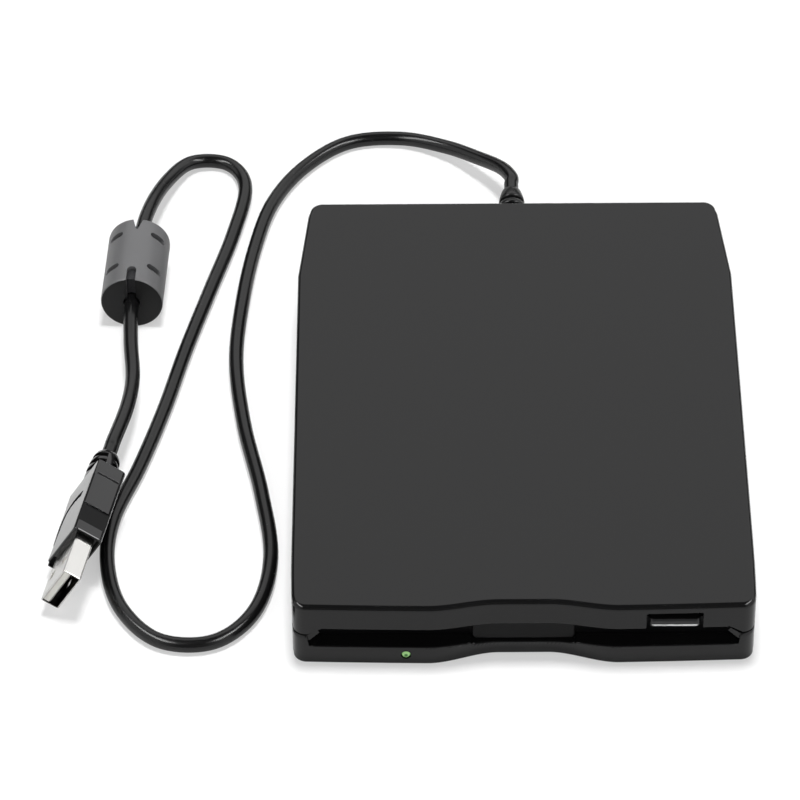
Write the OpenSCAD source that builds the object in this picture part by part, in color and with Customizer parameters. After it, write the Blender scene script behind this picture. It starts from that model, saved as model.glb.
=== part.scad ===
// External floppy disk drive with a fixed USB cord, in millimetres.
// The front faces -Y and +Z is up. The origin lies under the middle of the case, where its feet stand.

/* [Case] */
// Width of the case
case_w = 104; // [104:1:126]
// Depth of the case, front to back
case_d = 142; // [142:1:172]
// Height from the underside of the bottom cover to the top face
case_h = 17.3; // [17.3:0.1:22]
// Thickness of the side walls
wall = 1.6; // [1.4:0.1:1.8]
// Thickness of the bottom and of the roof
skin = 1.5; // [1.3:0.1:1.6]
// How far the feet stand out under the case
foot_h = 0.7; // [0.5:0.1:1.5]
// Diameter of a rubber foot
foot_d = 8; // [6:0.5:10]
// Radius of the rounded top edge
top_round = 0.8; // [0.4:0.1:1.2]
// Depth of the finger recess at the slot
recess_deep = 2.2; // [1:0.1:2.2]
// How much deeper the finger recess is at the underside
recess_under = 1.4; // [0:0.1:1.4]

/* [Disk slot] */
// Width of a disk
disk_w = 90; // [80:0.5:91]
// Length of a disk
disk_l = 94; // [86:0.5:95]
// Height of the lower lip above the table
lip_z = 6.05; // [5.6:0.05:6.3]
// Height of the slot's mouth
slot_h = 5.2; // [5:0.1:5.4]

/* [Mechanism] */
// How far the eject button and its slider travel
eject_travel = 4; // [3:0.1:4.5]
// How far the disk holder drops when a disk is in
drop = 2; // [1.5:0.1:2]
// Radius of the holder's guide pins
pin_r = 0.9; // [0.7:0.05:1]
// Travel of the heads from the outer track to the inner track
head_travel = 14.8; // [12:0.1:14.8]
// Radius of the carriage's guide rods
rod_r = 1; // [0.8:0.05:1.2]
// Outer radius of the lead screw
screw_r = 1.5; // [1.3:0.05:1.6]
// Lead of the lead screw, per turn
screw_lead = 3.75; // [3:0.05:4]
// Radius of the spindle shaft
shaft_r = 1.5; // [1.2:0.05:1.7]
// Outer radius of the spindle rotor
rotor_r = 19.5; // [16:0.5:19.5]

/* [Cord] */
// Diameter of the cord
cord_d = 3.5; // [3:0.1:3.6]
// Diameter of the ferrite's jacket
ferrite_d = 15; // [13:0.5:15]
// Length of the ferrite's jacket
ferrite_l = 23; // [18:0.5:24]
// Width of the plug's overmould
plug_w = 16; // [14.5:0.1:16.5]
// Thickness of the plug's overmould
plug_t = 7.3; // [6.5:0.1:7.6]
// Length of the plug's overmould
plug_l = 24; // [20:0.5:26]

/* [Hidden] */
$fn = 48;

// Clearances
run = 0.05;      // radial, of a pin or shaft that turns or slides
gap = 0.3;       // between pieces that move past each other
sheet = 0.6;     // thickness of the holder's and the slider's sheet
plate = 0.8;     // thickness of the chassis walls
base = 1;        // thickness of the chassis floor
wire_r = 0.16;   // radius of the springs' wire

// Heights of the case
z_under = foot_h;
z_floor = z_under + skin;
z_top = z_under + case_h;
z_roof = z_top - skin;
z_slot = lip_z + slot_h;
z_part = z_slot - 1.75;
step_h = 1.2;      // the step along the parting line, by which the covers locate
step_fit = 0.1;
snap_y = [-30, 30];

// Plan of the case
front = -case_d / 2;
back = case_d / 2;
bow = 1;
nip = 0.45;
nip_run = 20;
step_y = front + 7;
taper = 2.6;
taper_run = 27;
corner_r = 3;
recess_out = 21.5;
recess_in = 5.5;

// Slot and door
slot_top_w = disk_w + 1;
slot_part_w = disk_w + 6.8;
slot_lip_w = disk_w + 6;
door_w = disk_w + 3.2;
door_y = front + 4;
door_z = z_slot + 0.45;
door_t = 0.8;
door_pin_r = 0.7;
door_nook = [-door_w / 2 + 1.7, -door_w / 2 + 7.3];
tongue_w = 23;

// Mechanism frame
frame_in = disk_w / 2 + 2.1;
frame_out = frame_in + plate;
base_z = z_floor + 0.9;
base_top = base_z + base;
frame_front = front + 9;
frame_back = back - 5;
frame_mid = frame_front + 118;
frame_top = base_top + 11.1;
neck_w = case_w / 2 - 12;
cover_x = frame_in - 1.7;
cover_y = [frame_front + 5, frame_mid - 3];

// Disk holder, in its raised place
holder_in = disk_w / 2 + 0.3;
holder_out = holder_in + sheet;
bay_h = 4.3;
bay_z = lip_z + 0.95;
holder_top = bay_z + bay_h + sheet;
holder_front = front + 10.2;
disk_end = front + 5.8 + disk_l;
pin_z = bay_z + 2.8;
pin_y = [holder_front + 12.8, holder_front + 80.8];
head_slot = 8;

// Button
button_x = slot_top_w / 2 - 11.95;
button_w = 11.6;
pocket_w = 12.7;
button_z = [z_slot + 0.75, z_slot + 4.25];
stem_z = button_z[0] + 1.6;
stem_t = 1.4;

// Slider
slider_in = holder_out + gap;
slider_out = slider_in + sheet;
slider_front = front + 10.5 + eject_travel;
slider_y = [slider_front, slider_front + 92];
slider_z = holder_top + gap;
strip_w = 3.8;
spring_x = slider_out - 1.4;
spring_y = [slider_front + 35.4, slider_front + 60];
spring_z = slider_z + sheet + 1.15;
peg_r = 0.6;
tab_x = [button_x - 4, button_x + 4];

// Spindle and heads
spindle_y = disk_end - disk_l / 2 + 0.2;
board_z = base_z - 0.6;
track_0 = 39.5;
head_y = spindle_y + track_0;
carriage_y = disk_end + 1.6 + head_travel;
rod_x = 9;
rod_z = base_top + rod_r + 0.2;
rod_y = [disk_end + 0.6, carriage_y + 8.9];
arm_pin = [carriage_y + 5.2, holder_top + 1.1];
arm_pin_r = 0.8;
screw_x = 20;
screw_z = base_top + 5.35;
screw_y = [disk_end + 2.2, carriage_y + 10.4];
bearing_y = [screw_y[0] - 0.4, screw_y[0] - 0.4 + plate];
core_r = screw_r - 0.45;
bush_r = core_r + 0.95;
ridge_r = 0.3;
tooth_y = carriage_y + 3.7;
tooth_w = 1;
thread_y = tooth_y - screw_lead * floor((tooth_y - screw_y[0] - 1.4) / screw_lead);
motor_r = 5.2;
motor_face = screw_y[1] - 1.8;
ear_y = [rod_y[0] - 0.2, rod_y[1] - 0.6];

// Disk switches and shutter lever
switch_x = disk_w / 2 - 9;
lever_pin = [5 - disk_w / 2, disk_end - 27];
lever_post = lever_pin - [0, 6];
lever_reach = disk_w / 2 - 16;
lever_rest = 5;
lever_turn = 67;
lever_pin_r = 1.2;

// Light in the lower lip
led_x = -26.3;
led_z = 3.6;
led_r = 1.1;

// Interface board, from its lowest to its highest place on each axis
pcb = [[-38, 8], [ear_y[1] + plate + gap, frame_back - 0.5], [base_top + 1.4, base_top + 2.4]];
pcb_top = pcb[2][1];

// Feet, posts and screws
foot_x = case_w / 2 - 10;
foot_y = [front + 10, back - 20];
foot_inset = 0.3;
post = [case_w / 2 - 7.5, back - 8.5];
post_r = 2.8;
screw_shank = 0.93;
screw_head = 2.1;
lug = [frame_in - 3.6, [frame_front + 18, frame_front + 96]];

// Cord: where it leaves the relief, its route on the table, and the pieces on it. The places below were
// laid beside a case of one width and depth, and they move with its side and its back.
laid_w = 104;
laid_back = 71;
function beside(p) = [p[0] * case_w / laid_w, p[1] + back - laid_back, p[2]];
relief_tip = [0, back + 14, z_part];
ferrite_ends = [beside([-91.5, 69, 7.5]), beside([-92.5, 46, 7.5])];
plug_root = beside([-97.3, -19.3, 0]);
plug_turn = 11;
plug_lean = 30;
plug_z = plug_w / 2 * cos(plug_lean) + plug_t / 2 * sin(plug_lean);
relief_l = 9;
shell_w = 12;
shell_t = 4.5;
shell_l = 12;
shell_seat = 2;
function plug_at(y) = [plug_root[0] - y * sin(plug_turn), plug_root[1] - y * cos(plug_turn), plug_z];
lay_z = 1.8;
loop = [[-2.5, 96.5, 8.2], [-8, 103.5, 5.6], [-16, 111, 3.2], [-27.5, 116, 2], [-41, 114.5, lay_z],
    [-52, 104.5, lay_z], [-59.5, 90.5, lay_z], [-63.5, 73, lay_z], [-66, 53, lay_z], [-67, 31, lay_z],
    [-64.5, 8, lay_z], [-60, -15, lay_z], [-57.3, -37, lay_z], [-60.5, -54.5, lay_z], [-69.5, -64.5, lay_z],
    [-82, -64, lay_z], [-91, -53.5, lay_z], [-94.7, -39, lay_z], [-94, -24, lay_z], [-88.6, -6, lay_z],
    [-83.6, 14, lay_z], [-79.3, 35, lay_z], [-74, 57.5, lay_z], [-69, 78.5, lay_z], [-66.4, 97, lay_z],
    [-71, 106.3, lay_z], [-80, 106.3, 2.4], [-85.7, 97, 4.2], [-89.6, 83, 6.8]];
lead_in = [[-92.2, 33, 6.6], [-91.2, 20, 6.4], [-92, 8, 7.7]];
route = concat([for (y = [0, 3, 6]) relief_tip + [0, y, 0]], [for (p = loop) beside(p)], ferrite_ends,
    [for (p = lead_in) beside(p)], [for (y = [6, 3, 0]) plug_at(-relief_l - y)]);

// ---------------------------------------------------------------- helpers

function ease(t) = let (c = min(1, max(0, t))) c * c * (3 - 2 * c);
function unit(v) = v / norm(v);
function along(a, b, n) = [for (i = [0:n]) a + (b - a) * i / n];
function arc(c, r, a, b, n) = [for (i = [0:n]) let (t = a + (b - a) * i / n) c + r * [cos(t), sin(t)]];

// A rectangle with rounded corners
function rounded(w, h, r) = [for (q = [[1, 1, 0], [-1, 1, 90], [-1, -1, 180], [1, -1, 270]])
    each arc([q[0] * (w / 2 - r), q[1] * (h / 2 - r)], r, q[2], q[2] + 90, 4)];

// A box from its lowest to its highest place on each axis
module slab(x, y, z) translate([x[0], y[0], z[0]]) cube([x[1] - x[0], y[1] - y[0], z[1] - z[0]]);

// Round bars along each axis, from one place to another
module bar_x(x, y, z, r) translate([x[0], y, z]) rotate([0, 90, 0]) cylinder(h = x[1] - x[0], r = r);
module bar_y(x, y, z, r) translate([x, y[0], z]) rotate([-90, 0, 0]) cylinder(h = y[1] - y[0], r = r);
module bar_z(x, y, z, r) translate([x, y, z[0]]) cylinder(h = z[1] - z[0], r = r);

// The same thing on both sides
module both() {
    children();
    mirror([1, 0, 0]) children();
}

// An outline in the XZ plane given depth along Y, one in the YZ plane given width along X,
// and one seen from above given height
module across(points, y) translate([0, y[1], 0]) rotate([90, 0, 0])
    linear_extrude(y[1] - y[0]) polygon(points);
module across_x(points, x) translate([x[0], 0, 0]) rotate([90, 0, 90])
    linear_extrude(x[1] - x[0]) polygon(points);
module across_top(points, z) translate([0, 0, z[0]]) linear_extrude(z[1] - z[0]) polygon(points);

// A round-ended slot in the YZ plane, cut along X
module cam_slot(from, to, r, x) {
    bar_x(x, from[0], from[1], r);
    bar_x(x, to[0], to[1], r);
    reach = norm(to - from);
    translate([x[0], from[0], from[1]]) rotate([atan2(to[1] - from[1], to[0] - from[0]), 0, 0])
        translate([0, 0, -r]) cube([x[1] - x[0], reach, 2 * r]);
}

// A solid through rings of equal length, from the lowest to the highest
module loft(rings) {
    n = len(rings[0]);
    m = len(rings);
    sides = [for (k = [0:m - 2], i = [0:n - 1]) let (j = (i + 1) % n, a = k * n, b = a + n)
        each [[a + i, b + i, b + j], [a + i, b + j, a + j]]];
    ends = [[for (i = [0:n - 1]) i], [for (i = [n - 1:-1:0]) (m - 1) * n + i]];
    polyhedron([for (r = rings) each r], concat(sides, ends));
}

// A tube along a path, whose rings keep one corner towards the direction ref
module sweep(path, r, corners, ref) {
    last = len(path) - 1;
    loft([for (i = [0:last]) let (
        t = unit(path[min(i + 1, last)] - path[max(i - 1, 0)]),
        u = unit(cross(t, ref)),
        v = cross(t, u))
        [for (k = [0:corners - 1]) path[i] + r * (cos(360 * k / corners) * u + sin(360 * k / corners) * v)]]);
}

// Points on a smooth curve through the points p, two for each stretch
function between(p, i, t) = let (a = p[max(i - 1, 0)], b = p[i], c = p[i + 1], d = p[min(i + 2, len(p) - 1)])
    0.5 * (2 * b + (c - a) * t + (2 * a - 5 * b + 4 * c - d) * t * t + (3 * b - a - 3 * c + d) * t * t * t);
function smooth_path(p) = concat([for (i = [0:len(p) - 2], t = [0, 0.5]) between(p, i, t)], [p[len(p) - 1]]);

// Coils about an axis along X, Y or Z: where they start and end, the axis, their radius and turns
function coil(span, r, turns) = [for (i = [0:8 * turns])
    [span[0] + (span[1] - span[0]) * i / (8 * turns), r * cos(45 * i), r * sin(45 * i)]];
function coil_x(x, y, z, r, turns) = [for (p = coil(x, r, turns)) [p[0], y + p[1], z + p[2]]];
function coil_y(y, x, z, r, turns) = [for (p = coil(y, r, turns)) [x + p[1], p[0], z + p[2]]];
function coil_z(z, x, y, r, turns) = [for (p = coil(z, r, turns)) [x + p[1], y + p[2], p[0]]];

// ---------------------------------------------------------------- case outline

function recess(x) = ease((recess_out - abs(x)) / (recess_out - recess_in));
function deep(z) = recess_deep + recess_under * max(0, (lip_z - z) / (lip_z - z_under));
function front_y(x, z) = front + deep(z) * recess(x)
    + bow * (pow(2 * x / case_w, 2) - pow(2 * recess_out / case_w, 2));
function side_x(y) = case_w / 2 - nip * pow(max(0, (front + nip_run - y) / nip_run), 2)
    - taper * max(0, (y - back + taper_run) / taper_run);

// One ring of the case at height z, drawn in from the true outline by d. It starts at the back, from
// where every other point is in sight, because the caps are split from their first point.
function case_ring(z, d) = let (
    r = corner_r - d,
    fx = side_x(front) - corner_r,
    fy = front_y(fx, z) + corner_r,
    bx = side_x(back) - corner_r,
    by = back - corner_r,
    reach = recess_out + 1.5,
    rim = along(reach, fx, 5),
    half = concat(along(0, reach, 14), [for (i = [1:4]) rim[i]]),
    xs = concat([for (i = [len(half) - 1:-1:1]) -half[i]], half),
    ys = along(fy + 1, front + nip_run, 4),
    right = concat(arc([fx, fy], r, -90, 0, 5), [for (y = ys) [side_x(y) - d, y]],
        [[side_x(back - taper_run) - d, back - taper_run]], arc([bx, by], r, 5, 90, 5)),
    n = len(right),
    outline = concat([for (i = [n - 1:-1:0]) [-right[i][0], right[i][1]]],
        [for (x = xs) [x, front_y(x, z) + d]], right))
    [for (p = outline) [p[0], p[1], z]];

module case_solid(levels) loft([for (l = levels) case_ring(l[0], l[1])]);

// The space inside the walls, or inside an outline drawn in by d
module case_inside(z, d = wall) {
    levels = z[0] < lip_z ? [z[0], lip_z, z[1]] : z;
    case_solid([for (h = levels) [h, d]]);
}

// The part of a thing that lies behind the front wall
module behind(y) intersection() {
    children();
    slab([-case_w, case_w], [y, back + 5], [-1, z_top + 1]);
}

// The mouth of the slot, as cut through the front wall
module slot_mouth() across([[-slot_lip_w / 2, lip_z], [slot_lip_w / 2, lip_z], [slot_part_w / 2, z_part],
    [slot_top_w / 2, z_slot], [-slot_top_w / 2, z_slot], [-slot_part_w / 2, z_part]], [front - 5, front + 6]);

// ---------------------------------------------------------------- case

module top_cover() color([0.16, 0.16, 0.16]) difference() {
    union() {
        difference() {
            case_solid([[z_part, 0], [z_top - top_round, 0],
                for (a = [30, 60, 90]) [z_top - top_round + top_round * sin(a), top_round * (1 - cos(a))]]);
            case_inside([z_part - 1, z_roof]);
        }
        both() bar_z(post[0], post[1], [z_part - 0.5, z_roof + 0.2], post_r);
    }
    behind(step_y) case_inside([z_part - 1, z_part + step_h + 0.1], wall / 2 - step_fit / 2);
    both() {
        bar_z(post[0], post[1], [z_part - 1, z_part + 5.5], screw_shank + 0.02);
        for (y = snap_y) slab([case_w / 2 - wall, case_w / 2 - wall / 2 + 0.4], [y - 3.2, y + 3.2],
            [z_part + 0.3, z_part + 1.1]);
    }
    slot_mouth();
    slab([button_x - pocket_w / 2, button_x + pocket_w / 2], [front - 5, front + 3],
        [z_slot - 1, button_z[1] + 0.5]);
    relief_hole();
}

// The ledge behind the lower lip, which closes the view under the door
module lip_ledge() intersection() {
    case_inside([lip_z - 1, lip_z + 1], wall / 2);
    slab([0.5 - slot_lip_w / 2, slot_lip_w / 2 - 0.5], [front, door_y + 1.3], [lip_z - 1, lip_z + 0.5]);
}

module bottom_cover() color([0.14, 0.14, 0.14]) difference() {
    union() {
        lip_ledge();
        difference() {
            case_solid([[z_under, 0.5], [z_under + 0.15, 0.15], [z_under + 0.5, 0], [lip_z, 0], [z_part, 0]]);
            case_inside([z_floor, z_part + 1]);
        }
        behind(step_y + 0.2) difference() {
            case_inside([z_part - 0.5, z_part + step_h], wall / 2 + step_fit / 2);
            case_inside([z_part - 2, z_part + 3]);
        }
        both() {
            bar_z(post[0], post[1], [z_floor - 0.2, z_part - 0.5], post_r);
            for (y = lug[1]) bar_z(lug[0], y, [z_floor - 0.2, base_z], 3.3);
            for (y = snap_y) slab([case_w / 2 - wall, case_w / 2 - wall / 2 + 0.3], [y - 3, y + 3],
                [z_part + 0.4, z_part + 1]);
        }
    }
    both() {
        bar_z(post[0], post[1], [0, z_part], screw_shank + 0.12);
        bar_z(post[0], post[1], [0, z_under + 1.8], screw_head + 0.3);
        for (y = lug[1]) {
            bar_z(lug[0], y, [0, z_part], screw_shank + 0.12);
            bar_z(lug[0], y, [0, z_under + 1.3], screw_head + 0.3);
        }
        for (y = foot_y) bar_z(foot_x, y, [0, z_under + foot_inset], foot_d / 2 + 0.1);
    }
    slot_mouth();
    slab([-tongue_w / 2 - 0.3, tongue_w / 2 + 0.3], [front - 5, front + 6], [lip_z - 0.5, z_part + 2]);
    bar_y(led_x, [front - 5, front + 5], led_z, led_r + 0.05);
    relief_hole();
}

// Where the strain relief's neck sits in the back wall
module relief_hole() bar_y(0, [back - wall - 1, back + 1], z_part, 2.7);

module rubber_feet() color([0.07, 0.07, 0.07]) both() for (y = foot_y) translate([foot_x, y, 0])
    rotate_extrude() polygon([[0, 0], [foot_d / 2 - 0.3, 0], [foot_d / 2, 0.3],
        [foot_d / 2, z_under + foot_inset], [0, z_under + foot_inset]]);

// A pan-head screw pointing up, with a cross recess in its head
module screw_up(head_z, seat_z, tip_z, head = screw_head, shank = screw_shank) difference() {
    union() {
        translate([0, 0, head_z]) cylinder(h = seat_z - head_z, r1 = head - 0.35, r2 = head);
        translate([0, 0, seat_z]) cylinder(h = tip_z - seat_z, r = shank);
    }
    for (a = [0, 90]) rotate(a) translate([-head * 0.55, -0.2, head_z - 0.1]) cube([head * 1.1, 0.4, 0.7]);
}

module case_screws() color("dimgray") both() translate([post[0], post[1], 0])
    screw_up(z_under + 0.5, z_under + 1.8, z_part + 4.5);

module chassis_screws() color("dimgray") both() for (y = lug[1]) translate([lug[0], y, 0])
    screw_up(z_under + 0.3, z_under + 1.3, base_top - 0.1);

// ---------------------------------------------------------------- front pieces

module dust_door() color([0.11, 0.11, 0.11]) {
    half = door_w / 2;
    panel_y = door_y + 0.4;
    tongue_low = lip_z - 0.5 + gap + 0.15;
    curl = 1.2;
    difference() {
        union() {
            slab([-half, half], [panel_y, panel_y + door_t], [lip_z + gap, z_slot - 0.2]);
            across(concat([[-tongue_w / 2, z_slot - 0.25]],
                arc([-tongue_w / 2 + curl, tongue_low + curl], curl, 180, 270, 5),
                arc([tongue_w / 2 - curl, tongue_low + curl], curl, 270, 360, 5),
                [[tongue_w / 2, z_slot - 0.25]]), [door_y - 1.2, panel_y + 0.1]);
            both() hinge_block([half - 2.4, half]);
            both() bar_x([half - 1.2, frame_out - 0.2], door_y, door_z, door_pin_r);
        }
        slab(door_nook, [door_y - 2, door_y + 2], [z_slot - 1.9, z_slot]);
    }
    hinge_block([door_nook[1], door_nook[1] + 1.6]);
    bar_x([door_nook[0] - 0.6, door_nook[1] + 0.4], door_y, door_z, door_pin_r - 0.1);
}

// The thick part of the door that carries its pins
module hinge_block(x) {
    slab(x, [door_y - door_pin_r, door_y + 0.6], [z_slot - 1.4, z_slot - 0.2]);
    slab(x, [door_y - door_pin_r, door_y + 1.2], [z_slot - 0.8, door_z]);
}

module door_spring() color("silver")
    sweep(coil_x([door_nook[0] + 0.7, door_nook[1] - 0.7], door_y, door_z, 0.85, 6), wire_r, 6, [1, 0, 0]);

// The button's face is set back at the top and slopes out to its rounded lower lip
module eject_button() color([0.13, 0.13, 0.13])
    across_x([[front + 0.3, button_z[0]], [front + 2.2, button_z[0]], [front + 2.2, stem_z],
        [front + 5, stem_z], [front + 5, stem_z + stem_t], [front + 2.2, stem_z + stem_t],
        [front + 2.2, button_z[1]], [front + 1.3, button_z[1]], [front + 1, button_z[0] + 2],
        [front + 0.25, button_z[0] + 1], [front + 0.1, button_z[0] + 0.4]],
        [button_x - button_w / 2, button_x + button_w / 2]);

module led_lens() color([0.5, 0.85, 0.55]) {
    bar_y(led_x, [front + 0.25, front + 3], led_z, led_r);
    bar_y(led_x, [front + 2.2, front + 3.2], led_z, led_r + 0.25);
}

module indicator_led() color([0.75, 0.95, 0.75])
    slab([led_x - 1.5, led_x + 1.5], [front + 3.5, front + 5], [board_z + 0.6, board_z + 2.2]);

// ---------------------------------------------------------------- frame of the mechanism

module chassis() color([0.72, 0.73, 0.75]) difference() {
    union() {
        slab([-frame_out, frame_out], [frame_front, frame_mid], [base_z, base_top]);
        slab([-neck_w, neck_w], [frame_mid - 1, frame_back], [base_z, base_top]);
        both() {
            slab([frame_in, frame_out], [frame_front, frame_mid], [base_z, frame_top]);
            slab([frame_in, frame_out], [front + 2.8, frame_front + 1], [door_z - 1.4, door_z + 1.4]);
            for (y = cover_y) slab([frame_in - 3.4, frame_out], [y - 3, y + 3],
                [frame_top - plate, frame_top]);
            for (y = ear_y) slab([rod_x - 2, rod_x + 2], [y, y + plate], [base_z, rod_z + 2]);
            bar_x([spring_x - 0.6, frame_in + 0.1], spring_y[0], spring_z, peg_r);
        }
        slab([screw_x - 3.4, screw_x + 3.4], bearing_y, [base_z, screw_z + bush_r + 0.8]);
        slab([screw_x - 7, screw_x + 7], [motor_face - plate, motor_face], [base_z, frame_top - 1]);
    }
    bar_z(0, spindle_y, [0, 9], rotor_r + 1.5);
    slab([-6, 6], [spindle_y + rotor_r, rod_y[1] - 1], [0, base_top + 1]);
    both() {
        for (y = pin_y) cam_slot([y, pin_z], [y, pin_z - drop], pin_r + run, [frame_in - 1, frame_out + 1]);
        bar_x([frame_in - 1, frame_out + 1], door_y, door_z, door_pin_r + run);
        for (y = lug[1]) bar_z(lug[0], y, [0, 9], screw_shank + 0.02);
        for (y = cover_y) bar_z(cover_x, y, [9, 20], screw_shank + 0.02);
        bar_y(rod_x, [rod_y[0] - 2, rod_y[1] + 2], rod_z, rod_r + 0.02);
    }
    for (a = [90, 210, 330]) translate([0, spindle_y, 0]) rotate(a) bar_z(rotor_r + 4, 0, [0, 9], 0.8);
    bar_y(screw_x, [screw_y[0] - 2, screw_y[0] + 2], screw_z, bush_r);
    bar_y(screw_x, [motor_face - 2, motor_face + 1], screw_z, bush_r + 0.6);
}

module mechanism_cover() color([0.78, 0.79, 0.8]) difference() {
    slab([-frame_out, frame_out], [frame_front, frame_mid], [frame_top, frame_top + sheet]);
    both() for (y = cover_y) bar_z(cover_x, y, [9, 20], screw_shank + 0.1);
    for (x = [-24, 0, 24], y = [-30, 20]) bar_z(x, y, [9, 20], 3);
}

module cover_screws() color("dimgray") both() for (y = cover_y)
    translate([cover_x, y, frame_top + sheet]) rotate([180, 0, 0]) screw_up(-0.6, 0, sheet + 1.2, 1.7);

module slider_plate() color([0.62, 0.64, 0.66]) {
    difference() {
        union() {
            both() {
                slab([slider_in, slider_out], slider_y, [base_top + 1.8, slider_z + sheet]);
                slab([slider_out - strip_w, slider_out], slider_y, [slider_z, slider_z + sheet]);
            }
            slab([-slider_out, slider_out], [slider_front, slider_front + 5.5], [slider_z, slider_z + sheet]);
            slab(tab_x, [slider_front, slider_front + sheet], [slider_z, stem_z + stem_t - 0.4]);
            slab(tab_x, [front + 5, slider_front + sheet], [stem_z + 0.4, stem_z + stem_t - 0.4]);
        }
        both() for (y = pin_y) cam_slot([y, pin_z], [y + eject_travel, pin_z - drop], pin_r + run,
            [slider_in - 1, slider_out + 1]);
    }
    both() bar_z(spring_x, spring_y[1], [slider_z + sheet - 0.1, spring_z + 0.5], peg_r);
}

// Two springs that pull the slider forward, from a peg on it to a peg on the frame
module eject_springs() color("silver") both()
    sweep(coil_y([spring_y[0] + 0.75, spring_y[1] - 0.8], spring_x, spring_z, 0.8, 14), wire_r, 6, [0, 1, 0]);

module disk_holder() color([0.68, 0.7, 0.72]) {
    difference() {
        union() {
            slab([-holder_out, holder_out], [holder_front, disk_end + 0.8], [holder_top - sheet, holder_top]);
            slab([-holder_out, -26], [holder_front, disk_end + 4.4], [holder_top - sheet, holder_top]);
            both() {
                slab([holder_in, holder_out], [holder_front, disk_end + 0.6], [bay_z - sheet, holder_top]);
                slab([holder_in - 5.3, holder_out], [holder_front, disk_end + 0.6], [bay_z - sheet, bay_z]);
                slab([disk_w / 2 - 12, holder_out], [disk_end, disk_end + sheet],
                    [bay_z - sheet, holder_top]);
                for (y = pin_y) bar_x([holder_out - 0.2, frame_out - 0.2], y, pin_z, pin_r);
            }
        }
        slab([-head_slot, head_slot], [head_y - head_travel - 5.5, disk_end + 9], [0, 30]);
        slab([-13.5, 13.5], [disk_end - 0.6, disk_end + 9], [0, 30]);
        translate([lever_pin[0], lever_pin[1], holder_top - 2]) rotate(lever_rest - 3)
            rotate_extrude(angle = lever_turn + 6) translate([lever_reach - 1.7, 0]) square([3.4, 3]);
        for (y = [-40, -20, 0]) slab([14, 26], [y - 5, y + 5], [holder_top - 1, holder_top + 1]);
    }
    bar_z(lever_pin[0], lever_pin[1], [holder_top - 0.1, holder_top + 1.6], lever_pin_r);
    bar_z(lever_pin[0], lever_pin[1], [holder_top + 1.2, holder_top + 1.6], lever_pin_r + 0.7);
    bar_z(lever_post[0], lever_post[1], [holder_top - 0.1, holder_top + 1.5], 0.8);
}

module shutter_lever() color([0.9, 0.9, 0.88]) translate([lever_pin[0], lever_pin[1], holder_top + 0.1])
    rotate(lever_rest) difference() {
        union() {
            cylinder(h = 1, r = 2.6);
            slab([0, lever_reach], [-1.3, 1.3], [0, 0.7]);
            translate([lever_reach, 0, 0]) cylinder(h = 0.7, r = 1.3);
            translate([lever_reach, 0, -3.5]) cylinder(h = 4, r = 1.1);
        }
        translate([0, 0, -1]) cylinder(h = 3, r = lever_pin_r + run);
    }

module lever_spring() color("silver")
    sweep(coil_z([holder_top + wire_r, holder_top + 1.4], lever_post[0], lever_post[1], 1.1, 3),
        wire_r, 6, [0, 0, 1]);

// ---------------------------------------------------------------- spindle motor

module motor_board() color([0.1, 0.35, 0.2]) difference() {
    union() {
        slab([-rotor_r - 7.5, rotor_r + 7.5], [spindle_y - rotor_r - 5.5, spindle_y + rotor_r + 6.5],
            [board_z, base_z]);
        slab([led_x - 4, led_x + 4], [front + 3.4, spindle_y - rotor_r], [board_z, base_z]);
    }
    bar_z(0, spindle_y, [0, 9], 3.2);
    for (a = [90, 210, 330]) translate([0, spindle_y, 0]) rotate(a) bar_z(rotor_r + 4, 0, [0, 9], 0.8);
}

module spindle_bearing() color([0.75, 0.6, 0.35]) translate([0, spindle_y, 0]) difference() {
    bar_z(0, 0, [board_z, base_z + 1], 3.2);
    bar_z(0, 0, [0, 9], shaft_r + run);
}

module stator_coils() color([0.72, 0.4, 0.2]) translate([0, spindle_y, base_z]) {
    difference() {
        cylinder(h = 0.7, r = 7.5);
        translate([0, 0, -1]) cylinder(h = 3, r = 3.5);
    }
    for (a = [0:30:330]) rotate(a) {
        slab([7, rotor_r - 3.6], [-0.6, 0.6], [0.15, 0.65]);
        slab([8.6, rotor_r - 5], [-1.4, 1.4], [0, 0.9]);
    }
}

module spindle_rotor() color([0.6, 0.62, 0.64]) translate([0, spindle_y, 0]) difference() {
    bar_z(0, 0, [base_z + gap, base_top + 0.9], rotor_r);
    bar_z(0, 0, [0, base_top + 0.3], rotor_r - 0.8);
    bar_z(0, 0, [0, 9], shaft_r);
    for (a = [0:60:300]) rotate(a) bar_z(13.5, 0, [0, 9], 1.6);
}

module rotor_magnet() color([0.25, 0.24, 0.24]) translate([0, spindle_y, 0]) difference() {
    bar_z(0, 0, [base_z + gap, base_top + 0.3], rotor_r - 0.8);
    bar_z(0, 0, [0, 9], rotor_r - 2.4);
}

module spindle_hub() color([0.8, 0.81, 0.83]) translate([0, spindle_y, 0]) {
    difference() {
        bar_z(0, 0, [base_top + 0.9, base_top + 2.1], 10);
        difference() {
            bar_z(0, 0, [base_top + 1.8, 9], 9.2);
            bar_z(0, 0, [0, 9], 6);
        }
    }
    bar_z(0, 0, [board_z + 0.2, base_top + 2.7], shaft_r);
    bar_z(7.6, 0, [base_top + 1.5, base_top + 2.7], 0.9);
}

// ---------------------------------------------------------------- heads and their drive

module stepper_motor() color([0.7, 0.71, 0.73]) difference() {
    union() {
        bar_y(screw_x, [motor_face, motor_face + 11], screw_z, motor_r);
        bar_y(screw_x, [motor_face - 1, motor_face], screw_z, bush_r + 0.5);
        slab([screw_x - 3.5, screw_x + 3.5], [motor_face + 7, motor_face + 11],
            [screw_z + 3, screw_z + motor_r + 0.4]);
    }
    bar_y(screw_x, [motor_face - 2, motor_face + 3], screw_z, core_r + run);
}

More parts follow.
